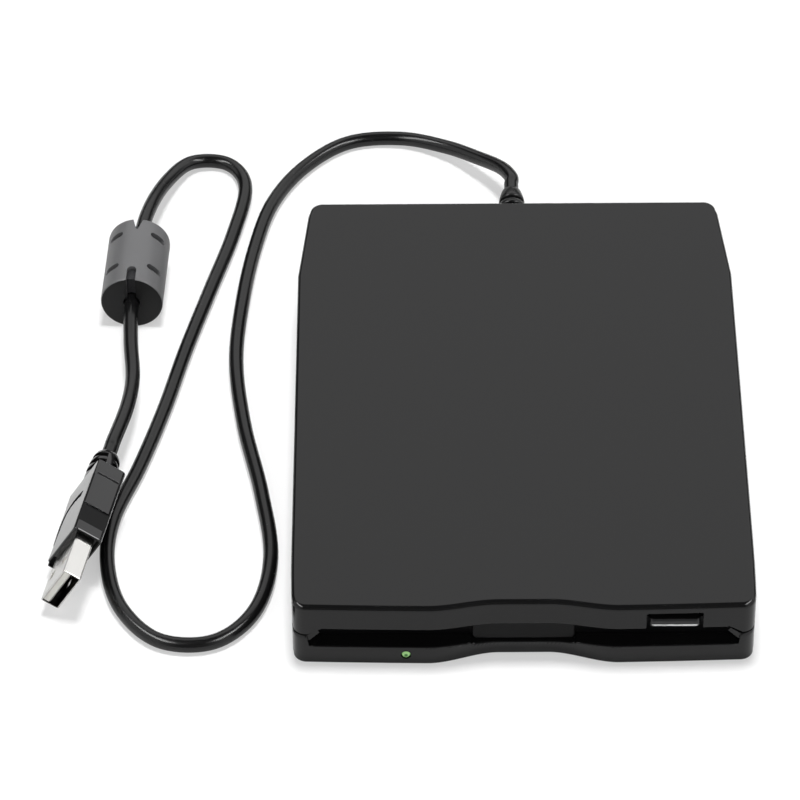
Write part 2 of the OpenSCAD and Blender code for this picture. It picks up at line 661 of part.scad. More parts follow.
module lead_screw() color([0.8, 0.81, 0.83]) {
    bar_y(screw_x, [screw_y[0] - 0.2, screw_y[1] + 1], screw_z, core_r);
    steps = floor(12 * (motor_face - 2 - thread_y) / screw_lead);
    sweep([for (i = [0:steps]) [screw_x + (screw_r - ridge_r) * cos(30 * i), thread_y + screw_lead * i / 12,
        screw_z + (screw_r - ridge_r) * sin(30 * i)]], ridge_r, 6, [0, 1, 0]);
}

module screw_bearing() color([0.85, 0.84, 0.8]) difference() {
    union() {
        bar_y(screw_x, bearing_y, screw_z, bush_r);
        bar_y(screw_x, [bearing_y[0] - 0.6, bearing_y[0]], screw_z, bush_r + 0.6);
    }
    bar_y(screw_x, [screw_y[0] - 0.5, screw_y[0] + 2], screw_z, core_r + run);
}

module guide_rods() color([0.85, 0.86, 0.88]) both()
    bar_y(rod_x, [rod_y[0] - 0.2, rod_y[1] + 0.2], rod_z, rod_r);

module head_carriage() color([0.2, 0.2, 0.22]) {
    y0 = carriage_y;
    difference() {
        union() {
            slab([-12, 12], [y0, y0 + 7.4], [rod_z + 1.3, rod_z + 5.2]);
            both() slab([rod_x - 2.2, rod_x + 2.2], [y0 + 1.8, y0 + 7.4], [rod_z - 0.8, rod_z + 1.5]);
            slab([-4.5, 4.5], [y0, y0 + 2.4], [base_z + 0.3, rod_z + 2]);
            slab([-4.5, 4.5], [head_y - 3, y0 + 2], [base_z + 0.3, base_z + 1.6]);
            both() slab([6.4, 7.4], [arm_pin[0] - 1.8, arm_pin[0] + 1.8], [rod_z + 5, arm_pin[1] + 1.7]);
            bar_x([7.3, 10.8], arm_pin[0], arm_pin[1], arm_pin_r);
            slab([12, screw_x - 3], [tooth_y - 1.3, tooth_y + 1.3], [rod_z + 2.6, screw_z + 1]);
            slab([-16.4, -12], [y0 + 3, y0 + 4.6], [rod_z + 2, rod_z + 3]);
        }
        both() {
            bar_y(rod_x, [y0 - 1, y0 + 9], rod_z, rod_r + run);
            bar_x([6, 7.35], arm_pin[0], arm_pin[1], arm_pin_r + run);
        }
    }
    slab([screw_x - 3.2, screw_x - core_r - 0.2], [tooth_y - tooth_w / 2, tooth_y + tooth_w / 2],
        [screw_z - 0.5, screw_z + 0.5]);
}

module lower_head() color([0.55, 0.5, 0.45]) {
    slab([-2.6, 2.6], [head_y - 2.6, head_y + 2.6], [base_z + 1.6, base_z + 2.6]);
    slab([-1.4, 1.4], [head_y - 1.8, head_y + 1.8], [base_z + 2.6, base_z + 3.35]);
}

module head_arm() color([0.3, 0.31, 0.33]) {
    pivot_y = arm_pin[0];
    slab([-5, 5], [head_y + 3, pivot_y - 1.4], [holder_top + gap, holder_top + 1.5]);
    across_top([[-5, head_y + 3.1], [-2.8, head_y - 3], [2.8, head_y - 3], [5, head_y + 3.1]],
        [holder_top + gap, holder_top + 1.3]);
    slab([-6, 6], [pivot_y - 1.5, pivot_y + 1.2], [arm_pin[1] - 1.2, arm_pin[1] + 1.2]);
    bar_x([-7.25, 7.25], pivot_y, arm_pin[1], arm_pin_r);
}

module upper_head() color([0.55, 0.5, 0.45])
    slab([-1.4, 1.4], [head_y - 1.8, head_y + 1.8], [bay_z + bay_h + 0.15, holder_top + gap]);

module arm_spring() color("silver")
    sweep(coil_x([7.8, 10.6], arm_pin[0], arm_pin[1], 1.1, 5), wire_r, 6, [1, 0, 0]);

module track_sensor() color([0.12, 0.12, 0.13]) difference() {
    slab([-18.6, -13], [carriage_y + 0.8, carriage_y + 6.6], [base_top, rod_z + 5]);
    slab([-18, -12], [carriage_y - 2, carriage_y + 9], [rod_z + 1.2, rod_z + 3.8]);
}

module disk_switches() color([0.15, 0.15, 0.16]) both() {
    slab([switch_x - 2, switch_x + 2], [holder_front + 3, holder_front + 6], [base_top, base_top + 0.8]);
    bar_z(switch_x, holder_front + 4.5, [base_top + 0.8, bay_z - 0.5], 0.6);
}

module head_flex() color([0.7, 0.45, 0.15])
    slab([-9, -3], [pcb[1][0] + 2.4, pcb[1][0] + 4], [base_top, base_top + 3.6]);

// ---------------------------------------------------------------- interface board

module main_board() color([0.08, 0.3, 0.18]) difference() {
    union() {
        slab(pcb[0], pcb[1], pcb[2]);
        for (x = [-34, 4]) bar_z(x, (pcb[1][0] + pcb[1][1]) / 2, [base_top, pcb[2][0]], 1.8);
    }
    slab([-10, -2], [pcb[1][0] - 1, pcb[1][0] + 4.6], [base_top, base_top + 5]);
}

module controller_chip() color([0.1, 0.1, 0.1])
    slab([-30, -21], [pcb[1][0] + 0.6, pcb[1][0] + 9.6], [pcb_top, pcb_top + 1.2]);

module crystal() color("silver")
    slab([-18, -13], [pcb[1][1] - 3.4, pcb[1][1] - 0.6], [pcb_top, pcb_top + 2.4]);

module capacitors() color([0.75, 0.62, 0.42]) for (x = [-19, -16, -12])
    slab([x, x + 1.6], [pcb[1][0] + 1.2, pcb[1][0] + 2.4], [pcb_top, pcb_top + 0.8]);

module cable_connector() color([0.92, 0.91, 0.86])
    slab([-1, 7], [pcb[1][1] - 6.9, pcb[1][1]], [pcb_top, pcb_top + 2.6]);

module inner_cable() color([0.06, 0.06, 0.06])
    bar_y(1.6, [pcb[1][1], back - wall - 1.6], pcb_top + 1.4, 1.3);

// ---------------------------------------------------------------- cord

module strain_relief() color([0.05, 0.05, 0.05]) translate([0, 0, z_part]) rotate([-90, 0, 0])
    rotate_extrude() polygon(concat([[0, back - wall - 1.6], [4, back - wall - 1.6],
        [4, back - wall - 0.1], [2.65, back - wall - 0.1], [2.65, back + 0.1], [3.8, back + 0.1],
        [3.8, back + 2.4]],
        [for (i = [0:2], p = [[0, 2.4], [-0.7, 2.5], [-0.7, 3.4], [0, 3.5], [0, 5]])
            [3.8 - 0.32 * i + p[0], back + p[1] + 2.9 * i]],
        [[2.5, relief_tip[1] - 0.6], [2.1, relief_tip[1]], [0, relief_tip[1]]]));

module usb_cord() color([0.04, 0.04, 0.04]) sweep(smooth_path(route), cord_d / 2, 8, [0, 0, 1]);

// Places children with +Y along the ferrite, from its front end
module on_ferrite() {
    run_v = ferrite_ends[0] - ferrite_ends[1];
    translate((ferrite_ends[0] + ferrite_ends[1]) / 2) rotate(-atan2(run_v[0], run_v[1]))
        translate([0, -ferrite_l / 2, 0]) children();
}

module ferrite_jacket() color([0.3, 0.3, 0.31]) on_ferrite() difference() {
    bar_y(0, [0, ferrite_l], 0, ferrite_d / 2);
    bar_y(0, [1.6, ferrite_l - 1.6], 0, ferrite_d / 2 - 1.1);
    bar_y(0, [-1, ferrite_l + 1], 0, cord_d / 2 + 0.35);
    slab([-1.1, 1.1], [-1, 5], [0, ferrite_d]);
    across_top([[-1.4, ferrite_l + 1], [0, ferrite_l - 4], [1.4, ferrite_l + 1]], [0, ferrite_d]);
    for (a = [-45, 45, 135, 225], y = [3.6, ferrite_l - 4.9])
        rotate([0, a, 0]) slab([-2, 2], [y, y + 1.3], [ferrite_d / 2 - 2, ferrite_d]);
}

module ferrite_core() color([0.12, 0.12, 0.13]) on_ferrite() difference() {
    bar_y(0, [1.6, ferrite_l - 1.6], 0, ferrite_d / 2 - 1.2);
    bar_y(0, [0, ferrite_l], 0, cord_d / 2 + 0.35);
}

// Places children with the plug pointing to -Y from its back end, its broad sides upright
module on_plug() translate([plug_root[0], plug_root[1], plug_z]) rotate(-plug_turn)
    rotate([0, plug_lean, 0]) children();

module plug_overmould() color([0.2, 0.2, 0.21]) on_plug() difference() {
    union() {
        across(rounded(plug_t, plug_w, 1), [-plug_l, -0.8]);
        across(rounded(plug_t - 1, plug_w - 1.2, 1), [-1, 0]);
        rotate([-90, 0, 0]) rotate_extrude() polygon(concat([[0, -0.5], [3.4, -0.5], [3.4, 1]],
            [for (i = [0:2], p = [[0, 1], [-0.6, 1.1], [-0.6, 1.9], [0, 2]])
                [3.4 - 0.2 * i + p[0], p[1] + 2 * i]],
            [[2.6, relief_l], [0, relief_l]]));
    }
    slab([-shell_t / 2, shell_t / 2], [-plug_l - 1, -plug_l + shell_seat], [-shell_w / 2, shell_w / 2]);
    slab([-plug_t, plug_t], [-plug_l + 3, -plug_l + 8], [plug_w / 2 - 0.35, plug_w]);
    slab([-plug_t, plug_t], [-plug_l + 3, -plug_l + 8], [-plug_w, -plug_w / 2 + 0.35]);
}

module plug_shell() color([0.82, 0.83, 0.85]) on_plug() difference() {
    slab([-shell_t / 2, shell_t / 2], [-plug_l - shell_l, -plug_l + shell_seat], [-shell_w / 2, shell_w / 2]);
    slab([-shell_t / 2 + 0.3, shell_t / 2 - 0.3], [-plug_l - shell_l - 1, -plug_l + shell_seat - 0.4],
        [-shell_w / 2 + 0.3, shell_w / 2 - 0.3]);
    for (z = [-2.9, 2.9]) slab([-shell_t, shell_t], [-plug_l - 7.4, -plug_l - 5.2], [z - 1.1, z + 1.1]);
}

module plug_tongue() color([0.9, 0.9, 0.88]) on_plug()
    slab([0.35 - shell_t / 2, 2.2 - shell_t / 2], [-plug_l - shell_l + 0.25, -plug_l + shell_seat - 0.4],
        [-shell_w / 2 + 0.5, shell_w / 2 - 0.5]);

module plug_contacts() color([0.85, 0.7, 0.35]) on_plug() for (z = [-3.5, -1, 1, 3.5])
    slab([2.2 - shell_t / 2, 2.4 - shell_t / 2], [-plug_l - shell_l + 1.4, -plug_l - 1], [z - 0.5, z + 0.5]);

// ---------------------------------------------------------------- the model

top_cover();
bottom_cover();
rubber_feet();
case_screws();
chassis_screws();
dust_door();
door_spring();
eject_button();
led_lens();
indicator_led();
chassis();
mechanism_cover();
cover_screws();
slider_plate();
eject_springs();
disk_holder();
shutter_lever();
lever_spring();
motor_board();
spindle_bearing();
stator_coils();
spindle_rotor();
rotor_magnet();
spindle_hub();
stepper_motor();
lead_screw();
screw_bearing();
guide_rods();
head_carriage();
lower_head();
head_arm();
upper_head();
arm_spring();
track_sensor();
disk_switches();
head_flex();
main_board();
controller_chip();
crystal();
capacitors();
cable_connector();
inner_cable();
strain_relief();
usb_cord();
ferrite_jacket();
ferrite_core();
plug_overmould();
plug_shell();
plug_tongue();
plug_contacts();
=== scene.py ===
"""The looks of a portable disk drive with its fixed cord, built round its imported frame.

Sizes are in millimetres and places in the frame of the part: the front faces -Y, +Z is up, and the feet
stand at height 0 under the middle of the case.
"""

import logging
import math
from dataclasses import dataclass
from enum import Enum
from typing import Any, Iterable, Mapping, Sequence

import bmesh
import bpy
from mathutils import Matrix, Vector


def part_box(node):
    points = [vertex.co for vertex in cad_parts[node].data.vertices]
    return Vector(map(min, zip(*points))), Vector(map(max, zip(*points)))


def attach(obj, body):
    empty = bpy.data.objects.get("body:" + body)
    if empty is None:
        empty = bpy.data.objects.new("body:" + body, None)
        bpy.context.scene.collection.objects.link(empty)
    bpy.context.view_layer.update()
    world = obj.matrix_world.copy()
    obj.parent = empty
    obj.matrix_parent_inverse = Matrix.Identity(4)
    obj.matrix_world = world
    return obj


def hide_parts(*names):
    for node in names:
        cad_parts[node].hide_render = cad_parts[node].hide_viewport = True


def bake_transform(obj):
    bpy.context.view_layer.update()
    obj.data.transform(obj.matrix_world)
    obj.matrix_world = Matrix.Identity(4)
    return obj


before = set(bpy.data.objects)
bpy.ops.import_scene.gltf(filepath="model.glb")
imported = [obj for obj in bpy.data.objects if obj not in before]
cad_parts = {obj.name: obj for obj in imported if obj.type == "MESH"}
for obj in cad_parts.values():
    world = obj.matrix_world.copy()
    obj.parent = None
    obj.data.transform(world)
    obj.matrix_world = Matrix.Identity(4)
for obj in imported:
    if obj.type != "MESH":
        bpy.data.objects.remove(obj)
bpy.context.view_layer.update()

MM = 0.001
LOG = logging.getLogger("drive")

Triple = tuple[float, float, float]
Colour = Triple
Place = Sequence[float]
Ring = list[Triple]
Outline = list[tuple[float, float]]

# Places that pieces of more than one class share, in millimetres.
CASE_DEPTH = 142.0
PART_Z = 9.5
LIGHT_AT = (-26.3, 3.6)
BUTTON_X = 33.55


# ---------------------------------------------------------------- shader maths


class Term:
    """One output of a material's node, with the arithmetic that the finishes use."""

    def __init__(self, graph: "Graph", socket: bpy.types.NodeSocket | None) -> None:
        """Keeps the socket, if the node has one, and the graph that it belongs to."""
        self.graph = graph
        self.socket = socket

    def _with(self, operation: str, first: Any, second: Any) -> "Term":
        """Adds one Math node on two values."""
        return self.graph.node("ShaderNodeMath", {"operation": operation}, {0: first, 1: second})

    def __add__(self, other: Any) -> "Term":
        """self + other."""
        return self._with("ADD", self, other)

    def __radd__(self, other: Any) -> "Term":
        """other + self."""
        return self._with("ADD", other, self)

    def __sub__(self, other: Any) -> "Term":
        """self - other."""
        return self._with("SUBTRACT", self, other)

    def __rsub__(self, other: Any) -> "Term":
        """other - self."""
        return self._with("SUBTRACT", other, self)

    def __mul__(self, other: Any) -> "Term":
        """self * other."""
        return self._with("MULTIPLY", self, other)

    def __rmul__(self, other: Any) -> "Term":
        """other * self."""
        return self._with("MULTIPLY", other, self)

    def larger(self, other: Any) -> "Term":
        """The larger of the two values."""
        return self._with("MAXIMUM", self, other)


class Graph:
    """The nodes of one material or of the world."""

    def __init__(self, owner: bpy.types.Material | bpy.types.World) -> None:
        """Empties the owner's node tree.

        Args:
            owner: the material or world whose nodes are made.
        """
        owner.use_nodes = True
        self.tree = owner.node_tree
        self.tree.nodes.clear()

    def node(self, kind: str, settings: Mapping[str, Any] | None = None,
             values: Mapping[int | str, Any] | None = None, output: int | str = 0) -> Term:
        """Adds a node.

        Args:
            kind: the node's type.
            settings: its own settings, such as a Math node's operation.
            values: a number, colour or Term for each input socket that isn't left as it is.
            output: which of its outputs is wanted.

        Returns:
            The wanted output.
        """
        made = self.tree.nodes.new(kind)
        for name, value in (settings or {}).items():
            setattr(made, name, value)
        for key, value in (values or {}).items():
            if isinstance(value, Term):
                self.tree.links.new(value.socket, made.inputs[key])
            else:
                made.inputs[key].default_value = value
        return Term(self, made.outputs[output] if made.outputs else None)

    def place_mm(self, stretch: Triple = (1.0, 1.0, 1.0)) -> Term:
        """Gives the place on the object.

        Args:
            stretch: what each axis is multiplied by.

        Returns:
            The stretched place in millimetres.
        """
        where = self.node("ShaderNodeTexCoord", output="Object")
        return self.node("ShaderNodeVectorMath", {"operation": "MULTIPLY"},
                         {0: where, 1: tuple(s / MM for s in stretch)})

    def noise(self, grain: float, detail: float, stretch: Triple = (1.0, 1.0, 1.0)) -> Term:
        """Adds soft noise.

        Args:
            grain: how wide its spots are, in millimetres.
            detail: how many finer layers it has.
            stretch: what each axis is multiplied by first.

        Returns:
            A value round 0.5.
        """
        return self.node("ShaderNodeTexNoise", {"normalize": True},
                         {"Vector": self.place_mm(stretch), "Scale": 1.0 / grain, "Detail": detail})

    def span(self, value: Term, low: float, high: float, to_low: float = 0.0, to_high: float = 1.0) -> Term:
        """Takes a value from one range to another, and holds it there.

        Args:
            value: the value.
            low: the start of its range.
            high: the end of its range.
            to_low: what low becomes.
            to_high: what high becomes.

        Returns:
            The new value.
        """
        return self.node("ShaderNodeMapRange", {"clamp": True},
                         {0: value, 1: low, 2: high, 3: to_low, 4: to_high})

    def mix(self, share: Term | float, first: Any, second: Any) -> Term:
        """Mixes two colours.

        Args:
            share: the share of the second colour.
            first: one colour.
            second: the other.

        Returns:
            The mixed colour.
        """
        pair = [c if isinstance(c, Term) else (*c, 1.0) for c in (first, second)]
        return self.node("ShaderNodeMix", {"data_type": "RGBA"}, {0: share, 6: pair[0], 7: pair[1]}, output=2)

    def shade(self, colour: Colour, swing: float, share: Term) -> Term:
        """Makes a colour uneven.

        Args:
            colour: the colour.
            swing: how much darker and lighter it gets, as a share of itself.
            share: from 0 where it is darkest to 1 where it is lightest.

        Returns:
            The uneven colour.
        """
        low, high = (tuple(min(1.0, c * s) for c in colour) for s in (1.0 - swing, 1.0 + swing))
        return self.mix(share, low, high)

    def bump(self, height: Term, depth_mm: float) -> Term:
        """The surface normal, tilted by a height of so many millimetres."""
        return self.node("ShaderNodeBump", None, {"Height": height, "Distance": depth_mm * MM},
                         output="Normal")

    def surface(self, **values: Any) -> Term:
        """Adds the one shader of a solid surface.

        Args:
            values: the value of each of its sockets, by name.

        Returns:
            The shader.
        """
        named = {name.replace("_", " "): value for name, value in values.items()}
        for name, value in named.items():
            if name == "Base Color" and not isinstance(value, Term):
                named[name] = (*value, 1.0)
        return self.node("ShaderNodeBsdfPrincipled", None, named)


# ---------------------------------------------------------------- finishes


@dataclass(frozen=True)
class Finish:
    """What every finish has: a name, a colour and a roughness."""

    name: str
    colour: Colour
    roughness: float

    def material(self) -> bpy.types.Material:
        """Makes the material with this finish, once. The frame's own materials keep the plain names.

        Returns:
            The material.
        """
        name = f"{self.name}_finish"
        found = bpy.data.materials.get(name)
        if found is None:
            found = bpy.data.materials.new(name)
            graph = Graph(found)
            graph.node("ShaderNodeOutputMaterial", None, {"Surface": self.shader(graph)})
        return found

    def shader(self, graph: Graph) -> Term:
        """The finish's shader."""
        return graph.surface(Base_Color=self.colour, Roughness=self.roughness)


@dataclass(frozen=True)
class Moulded(Finish):
    """Injection-moulded plastic with a fine spark-eroded texture and a little unevenness from cooling."""

    grain: float = 0.22
    depth: float = 0.003
    cloud: float = 0.05
    fleck: float = 0.0
    index: float = 1.5
    polish: float = 0.0

    def shader(self, graph: Graph) -> Term:
        """Builds the finish's nodes.

        Args:
            graph: the material's nodes.

        Returns:
            Its shader.
        """
        grain = graph.noise(self.grain, 3.0)
        cloud = graph.noise(14.0, 3.0)
        fleck = graph.span(graph.noise(0.5, 1.0), 0.70, 0.78)
        colour = graph.shade(self.colour, self.cloud, cloud)
        colour = graph.mix(fleck * self.fleck, colour, (0.30, 0.30, 0.29))
        rough = self.roughness - 0.05 + cloud * 0.06 + grain * 0.04
        return graph.surface(Base_Color=colour, Roughness=rough, IOR=self.index, Coat_Weight=self.polish,
                             Coat_Roughness=0.06, Normal=graph.bump(grain, self.depth))


@dataclass(frozen=True)
class PaintedLipHighlight(Moulded):
    """Moulded plastic with a pale band painted along its lower lip: a painted highlight of the rounded edge,
    patchy along it.
    """

    # across and lip bound the painted highlight; bare is its pale colour.
    across: tuple[float, float] = (-1.0, 1.0)
    lip: tuple[float, float] = (0.0, 1.0)
    bare: Colour = (0.4, 0.4, 0.4)

    def shader(self, graph: Graph) -> Term:
        """Builds the finish's nodes.

        Args:
            graph: the material's nodes.

        Returns:
            Its shader.
        """
        parts = graph.node("ShaderNodeSeparateXYZ", None, {0: graph.place_mm()})
        side, high = (Term(graph, parts.socket.node.outputs[i]) for i in (0, 2))
        low, top = self.lip
        left, right = self.across
        # The painted highlight: a pale band on the lip, fading at its ends and patchy along it.
        highlight_band = graph.span(high, low, low + 0.12) * graph.span(high, top - 0.12, top, 1.0, 0.0)
        highlight_band = highlight_band * graph.span(side, left, left + 0.5) * graph.span(side, right - 0.5, right, 1.0, 0.0)
        patchy_highlight = highlight_band * graph.span(graph.noise(0.8, 4.0, (0.4, 1.0, 1.0)), 0.25, 0.60, 0.45, 1.0)
        grain = graph.noise(self.grain, 3.0)
        cloud = graph.noise(6.0, 3.0)
        sound = graph.shade(self.colour, self.cloud, cloud)
        return graph.surface(Base_Color=graph.mix(patchy_highlight, sound, self.bare),
                             Roughness=self.roughness - 0.03 + cloud * 0.06 + patchy_highlight * 0.08,
                             IOR=self.index, Normal=graph.bump(grain, self.depth))


@dataclass(frozen=True)
class Rubber(Finish):
    """Matt rubber with a chalky bloom."""

    def shader(self, graph: Graph) -> Term:
        """Builds the finish's nodes.

        Args:
            graph: the material's nodes.

        Returns:
            Its shader.
        """
        grain = graph.noise(0.35, 4.0)
        bloom = graph.noise(3.0, 3.0)
        return graph.surface(Base_Color=graph.shade(self.colour, 0.35, bloom),
                             Roughness=self.roughness + bloom * 0.1, Normal=graph.bump(grain, 0.02))


class Lay(Enum):
    """The way that the rolling or grinding lines of a metal run."""

    ACROSS = (0.02, 1.0, 1.0)
    ALONG = (1.0, 0.02, 1.0)
    UPRIGHT = (1.0, 1.0, 0.02)


@dataclass(frozen=True)
class Metal(Finish):
    """Plated, rolled or ground metal with fine lines one way and a cloudy plating."""

    lay: Lay = Lay.ALONG
    lines: float = 0.12
    depth: float = 0.002
    cloud: float = 0.08

    def shader(self, graph: Graph) -> Term:
        """Builds the finish's nodes.

        Args:
            graph: the material's nodes.

        Returns:
            Its shader.
        """
        lines = graph.noise(self.lines, 3.0, self.lay.value)
        cloud = graph.noise(5.0, 4.0)
        rough = self.roughness - 0.06 + cloud * 0.08 + lines * 0.06
        return graph.surface(Base_Color=graph.shade(self.colour, self.cloud, cloud), Metallic=1.0,
                             Roughness=rough, Normal=graph.bump(lines, self.depth))


@dataclass(frozen=True)
class Sintered(Finish):
    """Pressed and fired powder, with open pores."""

    metallic: float = 0.0

    def shader(self, graph: Graph) -> Term:
        """Builds the finish's nodes.

        Args:
            graph: the material's nodes.

        Returns:
            Its shader.
        """
        pores = graph.span(graph.noise(0.18, 4.0), 0.42, 0.56)
        return graph.surface(Base_Color=graph.shade(self.colour, 0.3, pores), Metallic=self.metallic,
                             Roughness=self.roughness + 0.15 - pores * 0.15,
                             Normal=graph.bump(pores, 0.015))


@dataclass(frozen=True)
class Wound(Finish):
    """Enamelled copper wire, laid turn by turn."""

    pitch: float = 0.3

    def shader(self, graph: Graph) -> Term:
        """Builds the finish's nodes.

        Args:
            graph: the material's nodes.

        Returns:
            Its shader.
        """
        turns = graph.node("ShaderNodeTexWave", {"wave_type": "RINGS", "rings_direction": "Z"},
                           {"Vector": graph.place_mm(), "Scale": 1.0 / self.pitch / math.tau,
                            "Distortion": 0.6, "Detail": 1.0}, output=1)
        return graph.surface(Base_Color=graph.shade(self.colour, 0.35, turns), Metallic=0.9,
                             Roughness=self.roughness, Normal=graph.bump(turns, 0.05))


@dataclass(frozen=True)
class SolderMask(Finish):
    """Green varnish over copper tracks, with uncovered tinned pads."""

    track: Colour = (0.04, 0.22, 0.09)
    pad: Colour = (0.62, 0.60, 0.55)

    def shader(self, graph: Graph) -> Term:
        """Builds the finish's nodes.

        Args:
            graph: the material's nodes.

        Returns:
            Its shader.
        """
        tracks = graph.node("ShaderNodeTexBrick", {"offset": 0.37, "squash": 0.7, "squash_frequency": 3},
                            {"Vector": graph.place_mm((1.0, 1.0, 0.0)), "Scale": 0.42, "Mortar Size": 0.09,
                             "Mortar Smooth": 0.15, "Brick Width": 1.6, "Row Height": 0.35}, output=1)
        cells = graph.node("ShaderNodeTexVoronoi", {"feature": "F1"},
                           {"Vector": graph.place_mm((1.0, 1.0, 0.0)), "Scale": 0.45, "Randomness": 0.8})
        pads = graph.span(cells, 0.16, 0.20, 1.0, 0.0)
        colour = graph.mix(pads, graph.mix(tracks, self.colour, self.track), self.pad)
        return graph.surface(Base_Color=colour, Metallic=pads * 0.8, Coat_Weight=0.6 - pads * 0.5,
                             Coat_Roughness=0.15, Roughness=self.roughness,
                             Normal=graph.bump(tracks + pads, 0.03))


@dataclass(frozen=True)
class Jacket(Finish):
    """An extruded soft jacket: smooth, with faint draw lines and a little dust."""

    def shader(self, graph: Graph) -> Term:
        """Builds the finish's nodes.

        Args:
            graph: the material's nodes.

        Returns:
            Its shader.
        """
        waves = graph.noise(2.4, 2.0)
        grain = graph.noise(0.3, 3.0)
        dust = graph.span(graph.noise(1.1, 5.0), 0.62, 0.80)
        return graph.surface(Base_Color=graph.mix(dust * 0.04, self.colour, (0.25, 0.25, 0.25)),
                             Roughness=self.roughness - 0.04 + waves * 0.08 + dust * 0.05, IOR=1.5,
                             Normal=graph.bump(waves + grain * 0.3, 0.012))


@dataclass(frozen=True)
class LightPipe(Finish):
    """A clear green light pipe with a painted highlight in a ring inside its darker rim, and a faint painted
    glow that is brightest in that ring.
    """

    centre: tuple[float, float] = (0.0, 0.0)
    radius: float = 1.0
    # glow is the colour of the painted highlight ring.
    glow: Colour = (0.42, 0.76, 0.29)

    def shader(self, graph: Graph) -> Term:
        """Builds the finish's nodes.

        Args:
            graph: the material's nodes.

        Returns:
            Its shader.
        """
        away = graph.node("ShaderNodeVectorMath", {"operation": "DISTANCE"},
                          {0: graph.place_mm((1.0, 0.0, 1.0)), 1: (self.centre[0], 0.0, self.centre[1])},
                          output=1)
        ring = graph.span(away, 0.26 * self.radius, 0.52 * self.radius)
        rim = graph.span(away, 0.78 * self.radius, 0.92 * self.radius, 1.0, 0.0)
        spots = graph.noise(0.35, 2.0)
        share = ring * rim * graph.span(spots, 0.2, 0.7, 0.7, 1.0)
        colour = graph.mix(share, self.colour, self.glow)
        # The ring is a painted highlight, and the emission a painted glow.
        return graph.surface(Base_Color=colour, Roughness=self.roughness, IOR=1.49, Coat_Weight=0.4,
                             Coat_Roughness=0.04, Emission_Color=colour, Emission_Strength=0.12)


@dataclass(frozen=True)
class Film(Finish):
    """Amber polyimide film with copper tracks showing through."""

    def shader(self, graph: Graph) -> Term:
        """Builds the finish's nodes.

        Args:
            graph: the material's nodes.

        Returns:
            Its shader.
        """
        tracks = graph.node("ShaderNodeTexWave", {"wave_type": "BANDS", "bands_direction": "X"},
                            {"Vector": graph.place_mm(), "Scale": 0.35, "Distortion": 0.0}, output=1)
        lines = graph.span(tracks, 0.45, 0.55)
        return graph.surface(Base_Color=graph.mix(lines, self.colour, (0.36, 0.16, 0.03)),
                             Roughness=self.roughness, Coat_Weight=0.5, Coat_Roughness=0.1,
                             Normal=graph.bump(lines, 0.01))


@dataclass(frozen=True)
class Backdrop(Finish):
    """A plain floor that shows white to the eye, to gloss and through clear pieces, and keeps its shadows."""

    lift: float = 0.3
    gloss: float = 0.5
    fade: tuple[float, float] = (350.0, 1500.0)

    def shader(self, graph: Graph) -> Term:
        """Builds the finish's nodes.

        Args:
            graph: the material's nodes.

        Returns:
            Its shader.
        """
        paper = graph.node("ShaderNodeBsdfDiffuse", None, {"Color": (*self.colour, 1.0), "Roughness": 0.0})
        eye, gloss, through = (graph.node("ShaderNodeLightPath", output=name)
                               for name in ("Is Camera Ray", "Is Glossy Ray", "Is Transmission Ray"))
        seen = eye.larger(through).larger(gloss * self.gloss)
        away = graph.node("ShaderNodeVectorMath", {"operation": "LENGTH"}, {0: graph.place_mm()}, output=1)
        lift = graph.span(away, *self.fade, self.lift, 1.0)
        light = graph.node("ShaderNodeEmission", None,
                           {"Color": (1.0, 1.0, 1.0, 1.0), "Strength": seen * lift})
        return graph.node("ShaderNodeAddShader", None, {0: paper, 1: light})


CASE_PLASTIC = Moulded("case_plastic", (0.0045, 0.0045, 0.0047), 0.15, grain=0.20, depth=0.0015, fleck=0.02,
                       index=1.43)
FRONT_PLASTIC = Moulded("front_plastic", (0.003, 0.003, 0.0032), 0.36, grain=0.30, depth=0.0015, fleck=0.01,
                        index=1.26)
# The button's pale lower lip is a painted highlight.
BUTTON_PLASTIC = PaintedLipHighlight("button_plastic", (0.018, 0.018, 0.0185), 0.18, grain=0.30, depth=0.0015,
                      across=(28.3, 38.8), lip=(11.85, 12.72), bare=(0.80, 0.80, 0.80))
GAP_SHADE = Moulded("gap_shade", (0.0015, 0.0015, 0.0015), 0.70, grain=0.50, depth=0.003, index=1.08)
FOOT_RUBBER = Rubber("foot_rubber", (0.020, 0.020, 0.020), 0.75)
BLACK_ZINC = Metal("black_zinc", (0.09, 0.09, 0.10), 0.38, lines=0.2)
ZINC_SHEET = Metal("zinc_sheet", (0.58, 0.59, 0.60), 0.34, lines=0.18, depth=0.003, cloud=0.12)
SPRING_WIRE = Metal("spring_wire", (0.62, 0.62, 0.63), 0.22, lines=0.06)
# The light pipe, with a painted highlight ring and a painted glow.
LIGHT_PIPE_PAINTED_GLOW = LightPipe("light_pipe", (0.03, 0.15, 0.02), 0.12, centre=LIGHT_AT, radius=1.1)
CLEAR_RESIN = Moulded("clear_resin", (0.60, 0.82, 0.62), 0.12, depth=0.001)
GREEN_BOARD = SolderMask("green_board", (0.010, 0.10, 0.035), 0.35)
COPPER_WIRE = Wound("copper_winding", (0.70, 0.30, 0.12), 0.28)
BRONZE = Sintered("sintered_bronze", (0.55, 0.38, 0.18), 0.38, metallic=1.0)
MAGNET = Sintered("bonded_magnet", (0.05, 0.05, 0.055), 0.55)
GROUND_STEEL = Metal("ground_steel", (0.66, 0.66, 0.67), 0.16, lines=0.08, depth=0.001)
DARK_PLASTIC = Moulded("dark_plastic", (0.022, 0.022, 0.024), 0.42, grain=0.35, depth=0.006)
WHITE_PLASTIC = Moulded("white_plastic", (0.72, 0.71, 0.66), 0.36, grain=0.35, depth=0.004)
CERAMIC = Sintered("head_ceramic", (0.30, 0.26, 0.20), 0.22)
AMBER_FILM = Film("amber_film", (0.50, 0.24, 0.05), 0.30)
